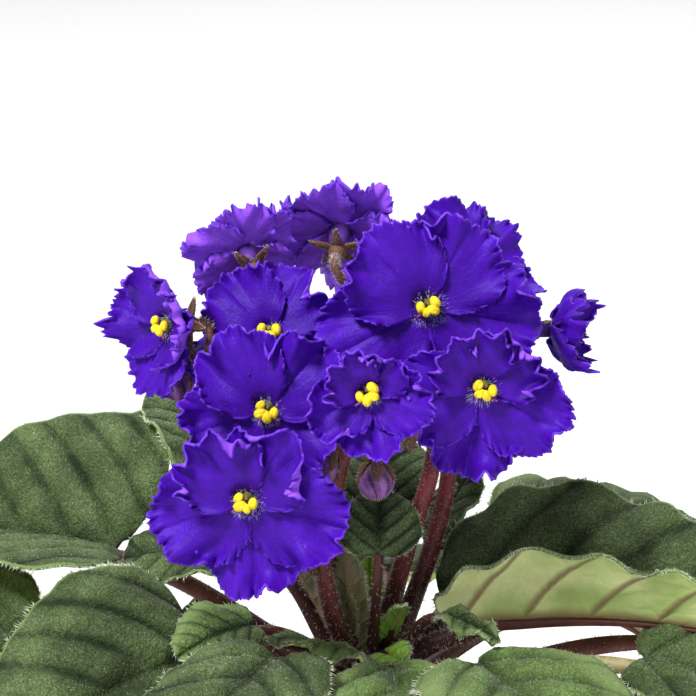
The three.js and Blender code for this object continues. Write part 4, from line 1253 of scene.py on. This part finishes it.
def ruffle(bloom, x, y, out):
    """The height of a bloom's face, one pattern for all of its petals, so that they don't cross"""
    around = np.arctan2(y, x)
    wave = np.sin(7 * around + bloom["seed"]) + 0.5 * np.sin(11 * around + 2.3 * bloom["seed"])
    waved = PETAL_RUFFLE * bloom["reach"] * smoothstep(0.25, 0.95, out) * wave
    return bloom["cup"] * out**1.5 - PETAL_SAG * bloom["reach"] * out**2 + waved


def rolled(reach, angle):
    """Bends a stretch of the given length up into an arc of the angle, and gives its reach and its rise"""
    angle = np.where(np.abs(angle) < 1e-3, 1e-3, angle)
    return reach * np.sin(angle) / angle, reach * (1 - np.cos(angle)) / angle


def petal_rolls(bloom, index, least, rng):
    """The rolled stretches of a petal's margin, each a place along it, an angle in degrees and a spread"""
    rolls = []
    for _ in range(PETAL_ROLLS):
        rolls.append((rng.uniform(least, 1 - least), rng.uniform(-50, 110), rng.uniform(0.02, 0.05)))
    rolls += [fold[1:] for fold in bloom.get("folds", []) if fold[0] == index]
    if index in bloom.get("crumpled", ()):
        places = np.arange(0.14, 0.88, 0.11)
        places += rng.uniform(-0.02, 0.02, len(places))
        rolls = [(place, rng.uniform(60, 200), rng.uniform(0.035, 0.055)) for place in places]
    return rolls


def petal_surface(bloom, index, seed):
    """A petal: rounded outlines that all start at the throat, with a crimped, notched and rolled margin"""
    angle, share, broad, layer = PETALS[index]
    share = share * bloom.get("shares", {}).get(index, 1)
    length, breadth = bloom["reach"] * share, bloom["reach"] * broad
    turn = math.radians(angle + 8 * (scatter(seed) - 0.5))
    claw = math.radians(PETAL_CLAW)
    frills = round((PETAL_FRILLS + FRILLS_A_MM * bloom["reach"]) * share)
    rng = np.random.default_rng(seed)
    phases = rng.uniform(0, 2 * math.pi, 6)
    # The first petal lies on top of its neighbours, so it can roll nearer to the throat
    rolls = petal_rolls(bloom, index, 0.12 if index == 0 else 0.27, rng)

    def surface(u, s):
        # The outline, toothed and notched
        v = 1 - (1 - s) ** 1.7
        around = lerp(claw, 2 * math.pi - claw, u)
        fringe = smoothstep(0.83, 1, v) ** 1.3 * smoothstep(0, 0.14, np.minimum(u, 1 - u))
        wander = 2 * math.pi * frills * u
        wander = wander + 1.9 * np.sin(14 * u + phases[0]) + 0.9 * np.sin(31 * u + phases[1])
        notch = 0.022 * np.sin(6 * around + seed) * smoothstep(0.7, 1, v)
        tooth = np.sin(1.3 * wander + phases[4]) * (0.55 + 0.45 * np.sin(17 * u + phases[3]))
        tooth = PETAL_TOOTH / length * (tooth + 0.5 * np.sin(2.7 * wander + phases[2])) * fringe
        size = lerp(PETAL_ROOT, 1, v) * (1 + notch + tooth)
        outward = length * (1 - np.cos(around)) / 2
        sideways = breadth * np.sin(around) / 2
        x = -math.sin(turn) * outward + math.cos(turn) * sideways
        y = math.cos(turn) * outward + math.sin(turn) * sideways

        # The rolls of its free part
        reach = np.hypot(x, y)
        bend = sum(math.radians(amount) * bump(u - at, spread) for at, amount, spread in rolls)
        free = np.maximum(size - PETAL_FREE, 0)
        run, rise = rolled(free * reach, bend * free / (1 - PETAL_FREE))
        scale = np.minimum(size, PETAL_FREE) + run / np.maximum(reach, 0.1)
        x, y = x * scale, y * scale
        out = np.hypot(x, y) / bloom["reach"]

        # Its height: layer, ruffles, frills, folds and the groove along its middle
        z = PETAL_LAYER * (layer - 1.5) * smoothstep(0.1, 0.3, out) + ruffle(bloom, x, y, out) + rise
        frill = np.sin(wander + phases[2]) + 0.6 * np.sin(1.9 * wander + phases[3])
        frill = frill * (0.6 + 0.4 * np.sin(20 * u + phases[4]))
        fold = np.sin(0.3 * wander + phases[5]) * smoothstep(0.45, 1, v) ** 1.5
        z = z + PETAL_FRILL * fringe * frill + 0.035 * bloom["reach"] * fold
        z = z - 0.5 * bump(sideways, 1.1) * smoothstep(0.15, 0.5, out)
        return bloom["frame"](np.stack([x, y, z], axis=1)), np.stack([u, v, out], axis=1)

    return surface


def throat_tube(bloom, name, material):
    """The short tube behind the petals, with a hollowed mouth"""
    piece = new_primitive(
        "cone", name, vertices=20, radius1=TUBE_RADIUS, radius2=TUBE_MOUTH * bloom["reach"],
        depth=TUBE_FRONT + TUBE_BACK, location=(0, 0, (TUBE_FRONT - TUBE_BACK) / 2),
    )
    settle(piece)
    bpy.ops.object.mode_set(mode="EDIT")
    bpy.ops.mesh.select_all(action="DESELECT")
    bpy.ops.object.mode_set(mode="OBJECT")
    for face in piece.data.polygons:
        face.select = face.normal.z > 0.9
    bpy.ops.object.mode_set(mode="EDIT")
    bpy.ops.mesh.inset(thickness=TUBE_RIM)
    bpy.ops.transform.translate(value=(0, 0, -TUBE_HOLLOW))
    bpy.ops.transform.resize(value=(0.6, 0.6, 1))
    bpy.ops.object.mode_set(mode="OBJECT")
    place_vertices(piece, bloom["frame"](coordinates(piece)))
    soften(piece)
    piece.data.materials.append(material)
    return piece


def throat_hairs(bloom, name, sizes, material, rng):
    """White hairs round the anthers"""
    count = THROAT_HAIRS
    turn = rng.uniform(0, 2 * math.pi, count)
    reach = bloom["reach"] * rng.uniform(0.06, 0.17, count)
    x, y = reach * np.cos(turn), reach * np.sin(turn)
    z = ruffle(bloom, x, y, reach / bloom["reach"])
    lean = np.stack([np.cos(turn), np.sin(turn), np.full(count, 0.7)], axis=1)
    lean = lean + 0.4 * rng.normal(size=lean.shape)
    frame = bloom["frame"]
    roots = frame(np.stack([x, y, z], axis=1))
    lengths = rng.uniform(*THROAT_HAIR_LENGTHS, count)
    return hairs(
        name, roots, frame.turned(lean), lengths, THROAT_HAIR_WIDTH * sizes.rim_hair_width / MM, material
    )


class VIOLET_OT_blooms(bpy.types.Operator):
    """Add the blooms, each five ruffled petals that overlap round a hairy throat"""

    bl_idname = "violet.blooms"
    bl_label = "Blooms"

    def execute(self, context):
        colours, sizes = context.scene.violet_colours, context.scene.violet_sizes
        tint, margin, throat = (tuple(c) for c in (colours.petal, colours.petal_rim_and_highlight, colours.throat))
        back_tint = tuple(colours.petal_back)
        face = finish_named("petal face", petal_face, tint, margin, throat)
        back = finish_named("petal back", petal_face, back_tint, margin, back_tint)
        dark_back = finish_named("withered back", petal_face, tint, back_tint, tint)
        white = finish_named("throat hair", hair_finish, THROAT_HAIR)
        green = finish_named("ovary", plain_finish, OVARY, 0.6)
        # The tube is painted darker: painted shade in the throat
        tube_wall = finish_named("petal tube", plain_finish, PETAL_TUBE, 0.6)
        for seed, (name, about) in enumerate(BLOOMS.items(), start=1):
            rng = np.random.default_rng(200 + seed)
            bloom = {**about, "seed": seed, "frame": FlowerFrame(**about)}
            columns = 2 * round(PETAL_COLUMNS_A_MM * bloom["reach"])
            skins = (face, dark_back if name in WITHERED else back)
            pieces = []
            for i in range(len(PETALS)):
                surface = petal_surface(bloom, i, seed * 10 + i)
                pieces.append(
                    shaped_sheet(f"petal_{i}", columns, PETAL_ROWS, surface, sizes.petal_thickness, skins)
                )
            pieces.append(throat_tube(bloom, "throat", tube_wall))
            pieces.append(throat_hairs(bloom, "throat_hairs", sizes, white, rng))
            ovary = catmull_rom([(0.3, 0.6, -1.2), (0.2, 0.8, 0.6), (0.1, 1.0, 2.0)], 4)
            thick = 1.5 * np.sqrt(np.linspace(1, 0.12, len(ovary)))
            pieces.append(tube("ovary", bloom["frame"](ovary), thick, green))
            ready(joined(f"{name}_petals", pieces), "petal", name)
        return {"FINISHED"}


class VIOLET_OT_anthers(bpy.types.Operator):
    """Add the yellow anthers, a pair of double pollen sacs in each bloom, and the style beside them"""

    bl_idname = "violet.anthers"
    bl_label = "Anthers"

    def execute(self, context):
        colours = context.scene.violet_colours
        pollen = pollen_finish("pollen", tuple(colours.anther))
        style = plain_finish("style", tuple(colours.style), 0.4)
        sac = new_primitive("uv_sphere", "sac", segments=14, ring_count=9, radius=1)
        shape = coordinates(sac)
        groove = 1 - 0.22 * bump(shape[:, 0], 0.25) * smoothstep(-0.2, 0.6, shape[:, 2])
        shape = shape * SAC_SHAPE * groove[:, None]
        sacs = [(side, turn, place) for side in (-1, 1) for turn, place in POLLEN_SACS]
        for seed, (name, about) in enumerate(BLOOMS.items(), start=1):
            frame = FlowerFrame(**about)
            pieces = []
            rng = np.random.default_rng(400 + seed)
            spin, swells = rng.uniform(-0.6, 0.6), rng.uniform(0.95, 1.22, len(sacs))
            for (side, turn, place), swell in zip(sacs, swells):
                lobe = sac.copy()
                lobe.data = sac.data.copy()
                bpy.context.collection.objects.link(lobe)
                seat = spun(np.array(place) * [side, 1, 1], spin)
                place_vertices(lobe, frame(spun(shape, side * turn + spin) * swell + seat))
                lobe.data.materials.append(pollen)
                soften(lobe)
                pieces.append(lobe)
                thread = catmull_rom([(side * 0.4, 0, -1), (side * 1.1, -0.6, 1), (side, -0.3, 2.4)], 5)
                radii = np.full(len(thread), FILAMENT_RADIUS)
                pieces.append(tube("filament", frame(thread), radii, pollen, 1))
            away = -1 if seed % 2 else 1
            thread = catmull_rom([(0, -0.3, 0), (away * 1.6, -1.4, 2.2), (away * 3.1, -2.1, 2.6)], 8)
            radii = np.concatenate([np.linspace(0.34, 0.24, len(thread) - 1), [0.42]])
            pieces.append(tube("style", frame(thread), radii, style, 1))
            node = name.replace("bloom", "anthers")
            ready(joined(f"{node}_sacs", pieces), "anther", node)
        bpy.data.objects.remove(sac)
        return {"FINISHED"}


def bud_radius(height):
    """The radius of a bud at a share of its length"""
    return BUD_RADIUS * (4 * height * (1 - height)) ** 0.45 * lerp(0.92, 1.02, height)


def sepal_surface(frame, turn, calyx):
    """A narrow pointed sepal that leaves the cup and bends outwards, or hugs a bud"""
    reach, rise, behind = calyx["reach"], calyx["rise"], calyx["behind"]
    c, s = math.cos(turn), math.sin(turn)

    def surface(u, v):
        across = (2 * u - 1) * SEPAL_WIDTH * np.sqrt(np.clip(1 - v, 0, 1))
        across = across * (0.75 + 0.5 * np.sin(math.pi * v))
        curl = SEPAL_CURL * (across / 1.1) ** 2
        out, z = lerp(1.0, reach, v), rise * v**1.5 - 0.3 + curl - behind
        if "hug" in calyx:
            height = calyx["hug"] * v + 0.02
            out, z = bud_radius(height) + 0.5 - curl, BUD_LENGTH * height - behind
        points = np.stack([c * out - s * across, s * out + c * across, z], axis=1)
        return frame(points), np.stack([u, v, v], axis=1)

    return surface


class VIOLET_OT_stalks(bpy.types.Operator):
    """Add the flower stalks, their thin flower stems and the calyces that hold blooms and buds"""

    bl_idname = "violet.stalks"
    bl_label = "Flower stalks"

    def execute(self, context):
        colours, sizes = context.scene.violet_colours, context.scene.violet_sizes
        self.hair, self.width = hair_material(context, "stem"), STEM_HAIR_WIDTH * sizes.rim_hair_width / MM
        red = finish_named("flower stalk", stem_finish, tuple(colours.stalk), 0.4)
        self.green_red = finish_named("sepal", stem_finish, tuple(colours.sepal), 0.55)
        self.brown = finish_named("flower stem", stem_finish, tuple(colours.flower_stem), 0.5)
        flowers = [(about, BLOOM_CALYX) for about in BLOOMS.values()]
        flowers += [(about, BUD_CALYX) for about in BUDS.values()]
        flowers += [(about, SPENT_CALYX) for about in SPENT]
        for seed, (name, points) in enumerate(STALKS.items(), start=1):
            rng = np.random.default_rng(300 + seed)
            path = catmull_rom(points, 10)
            share = np.linspace(0, 1, len(path))
            radii = np.linspace(*STALK_RADII, len(path)) * (1 + STALK_SWELL * bump(share, 0.3))
            down = stem_hairs(
                "stalk_hairs", path, radii, STALK_HAIRS, STALK_HAIR_LENGTH, self.width, self.hair, rng
            )
            pieces = [tube("stalk", path, radii, red, 4), down]
            for about, calyx in flowers:
                if about["stalk"] == name:
                    frame = FlowerFrame(**about)
                    pieces += self.flower_stem(path, about, calyx, frame, rng)
                    pieces += self.sepals(calyx, frame, rng)
            ready(joined(f"flower_stalk_{name}_grown", pieces), "stalk", f"flower_stalk_{name}")
        return {"FINISHED"}

    def flower_stem(self, path, about, calyx, frame, rng):
        """The hairy stem of one flower, from its stalk to the cup of its calyx, and the cup"""
        cup_depth = -CALYX_RINGS[0][0]
        end = frame.at - frame.z * (calyx["behind"] + cup_depth - STEM_IN_CUP)
        start = point_along(path, about.get("branch", 1))
        neck = min(STEM_NECK, 0.3 * np.linalg.norm(end - start))
        way = catmull_rom([start, *about.get("via", []), end - frame.z * neck, end], 8)
        thin = np.linspace(*STEM_RADII, len(way))
        stem = tube("flower_stem", way, thin, self.brown, 3)
        count = int(STEM_HAIRS_A_MM * np.linalg.norm(np.diff(way, axis=0), axis=1).sum())
        down = stem_hairs("stem_hairs", way, thin, count, STEM_HAIR_LENGTH, self.width, self.hair, rng)
        rings = frame(np.array([(0, 0, height - calyx["behind"]) for height, _ in CALYX_RINGS]))
        return [stem, down, tube("cup", rings, [radius for _, radius in CALYX_RINGS], self.green_red, 4)]

    def sepals(self, calyx, frame, rng):
        """A calyx's sepals, with hairs that lean back"""
        pieces = []
        skins = (self.green_red, self.green_red)
        for i in range(SEPALS):
            surface = sepal_surface(frame, math.radians(360 / SEPALS * i + 90), calyx)
            pieces.append(shaped_sheet("sepal", *SEPAL_MESH, surface, SEPAL_THICKNESS * MM, skins))
            u, v = rng.random(SEPAL_HAIRS), rng.random(SEPAL_HAIRS)
            roots, _ = surface(u, v)
            lean = rng.normal(size=roots.shape) - 0.6 * frame.z
            lengths = rng.uniform(*SEPAL_HAIR_LENGTHS, SEPAL_HAIRS)
            pieces.append(hairs("sepal_hairs", roots, lean, lengths, self.width, self.hair))
        return pieces


class VIOLET_OT_buds(bpy.types.Operator):
    """Add the closed buds, folded petals that are still wrapped round each other"""

    bl_idname = "violet.buds"
    bl_label = "Buds"

    def execute(self, context):
        hair = hair_material(context, "stem")
        width = BUD_HAIR_WIDTH * context.scene.violet_sizes.rim_hair_width / MM
        violet = finish_named("bud", bud_finish, tuple(context.scene.violet_colours.bud))
        for name, about in BUDS.items():
            frame = FlowerFrame(**about)
            bud = new_primitive("uv_sphere", f"{name}_petals", segments=40, ring_count=24, radius=1)
            points = coordinates(bud)
            turn = np.arctan2(points[:, 1], points[:, 0])
            height = (points[:, 2] + 1) / 2
            pleat = np.abs(np.sin(2.5 * turn + 2.4 * height))
            folds = 0.88 + 0.24 * pleat * smoothstep(0.1, 0.5, height)
            radius = bud_radius(np.clip(height, 0, 1)) * folds
            shape = np.stack([radius * np.cos(turn), radius * np.sin(turn), BUD_LENGTH * height], axis=1)
            place_vertices(bud, frame(shape))
            mark(bud, "blade", np.stack([pleat, height, height], axis=1))
            bud.data.materials.append(violet)
            soften(bud)
            rng = np.random.default_rng(500 + len(name))
            chosen = rng.integers(0, len(shape), BUD_HAIRS)
            lean = frame.turned(shape[chosen] * [1, 1, 0]) + 2 * frame.z
            lengths = rng.uniform(*BUD_HAIR_LENGTHS, BUD_HAIRS)
            down = hairs(f"{name}_down", frame(shape[chosen]), lean, lengths, width, hair)
            ready(joined(f"{name}_petals", [bud, down]), "petal", name)
        return {"FINISHED"}


# The stage. Its sizes and places are in metres, and the camera's place and lens in millimetres.

FLOOR_SIZE, SKY_LIGHT = 12, 0.36
PLANT = (0, 0, 0.16)
# Each soft light's place, aim, size, and power in watts
LIGHTS = {
    "key light": ((-0.75, -0.95, 1.7), PLANT, 0.5, 56),
    "fill light": ((1.3, -1.1, 0.8), PLANT, 1.4, 5),
    "back light": ((0.3, 1.4, 1.5), PLANT, 1.2, 14),
    "floor light": ((0, 4, 2.8), (0, 4.6, 0), 3, 45),
}
PHOTO_CAMERA = (-5.06, -676.15, 366.24)
PHOTO_ELEVATION = 15
PHOTO_LENS = 157.5


class VIOLET_OT_stage(bpy.types.Operator):
    """Add the pale floor, the soft lights and the camera"""

    bl_idname = "violet.stage"
    bl_label = "Stage"

    def execute(self, context):
        floor = new_primitive("plane", "floor", size=FLOOR_SIZE)
        finish = Finish("floor", 0.9)
        tint = tuple(context.scene.violet_colours.floor)
        floor.data.materials.append(finish.done(finish.mix(finish.noise(3), tint, toned(tint, 0.985))))

        for name, (place, aim, size, power) in LIGHTS.items():
            lamp = bpy.data.lights.new(name, "AREA")
            lamp.energy, lamp.size = power, size
            holder = bpy.data.objects.new(name, lamp)
            bpy.context.collection.objects.link(holder)
            holder.location = place
            holder.rotation_euler = (Vector(aim) - Vector(place)).to_track_quat("-Z", "Y").to_euler()

        sky = bpy.data.worlds.new("soft sky")
        sky.use_nodes = True
        background = sky.node_tree.nodes["Background"]
        background.inputs["Color"].default_value = (1, 1, 1, 1)
        background.inputs["Strength"].default_value = SKY_LIGHT
        context.scene.world = sky
        context.scene.view_settings.view_transform = "Standard"

        camera = bpy.data.objects.new("camera", bpy.data.cameras.new("camera"))
        bpy.context.collection.objects.link(camera)
        camera.location = [c * MM for c in PHOTO_CAMERA]
        camera.rotation_euler = (math.radians(90 - PHOTO_ELEVATION), 0, 0)
        camera.data.lens = PHOTO_LENS
        context.scene.camera = camera
        return {"FINISHED"}


class VIOLET_PT_sidebar(bpy.types.Panel):
    """Lists the steps that grow the plant, with its sizes and colours"""

    bl_idname = "VIOLET_PT_sidebar"
    bl_label = "African Violet"
    bl_space_type = "VIEW_3D"
    bl_region_type = "UI"
    bl_category = "African Violet"

    def draw(self, context):
        for step in STEPS:
            self.layout.operator(step.bl_idname)
        for group in (context.scene.violet_sizes, context.scene.violet_colours):
            column = self.layout.column()
            for name in group.__annotations__:
                column.prop(group, name)


STEPS = (
    VIOLET_OT_pot,
    VIOLET_OT_soil,
    VIOLET_OT_crown,
    VIOLET_OT_leaves,
    VIOLET_OT_stalks,
    VIOLET_OT_blooms,
    VIOLET_OT_anthers,
    VIOLET_OT_buds,
    VIOLET_OT_stage,
)
CLASSES = (VioletSizes, VioletColours, *STEPS, VIOLET_PT_sidebar)


def register():
    for cls in CLASSES:
        bpy.utils.register_class(cls)
    bpy.types.Scene.violet_sizes = PointerProperty(type=VioletSizes)
    bpy.types.Scene.violet_colours = PointerProperty(type=VioletColours)


def unregister():
    del bpy.types.Scene.violet_colours
    del bpy.types.Scene.violet_sizes
    for cls in reversed(CLASSES):
        bpy.utils.unregister_class(cls)


def main():
    register()
    bpy.ops.violet.pot()
    bpy.ops.violet.soil()
    bpy.ops.violet.crown()
    bpy.ops.violet.leaves()
    bpy.ops.violet.stalks()
    bpy.ops.violet.blooms()
    bpy.ops.violet.anthers()
    bpy.ops.violet.buds()
    bpy.ops.violet.stage()


if __name__ == "__main__":
    main()
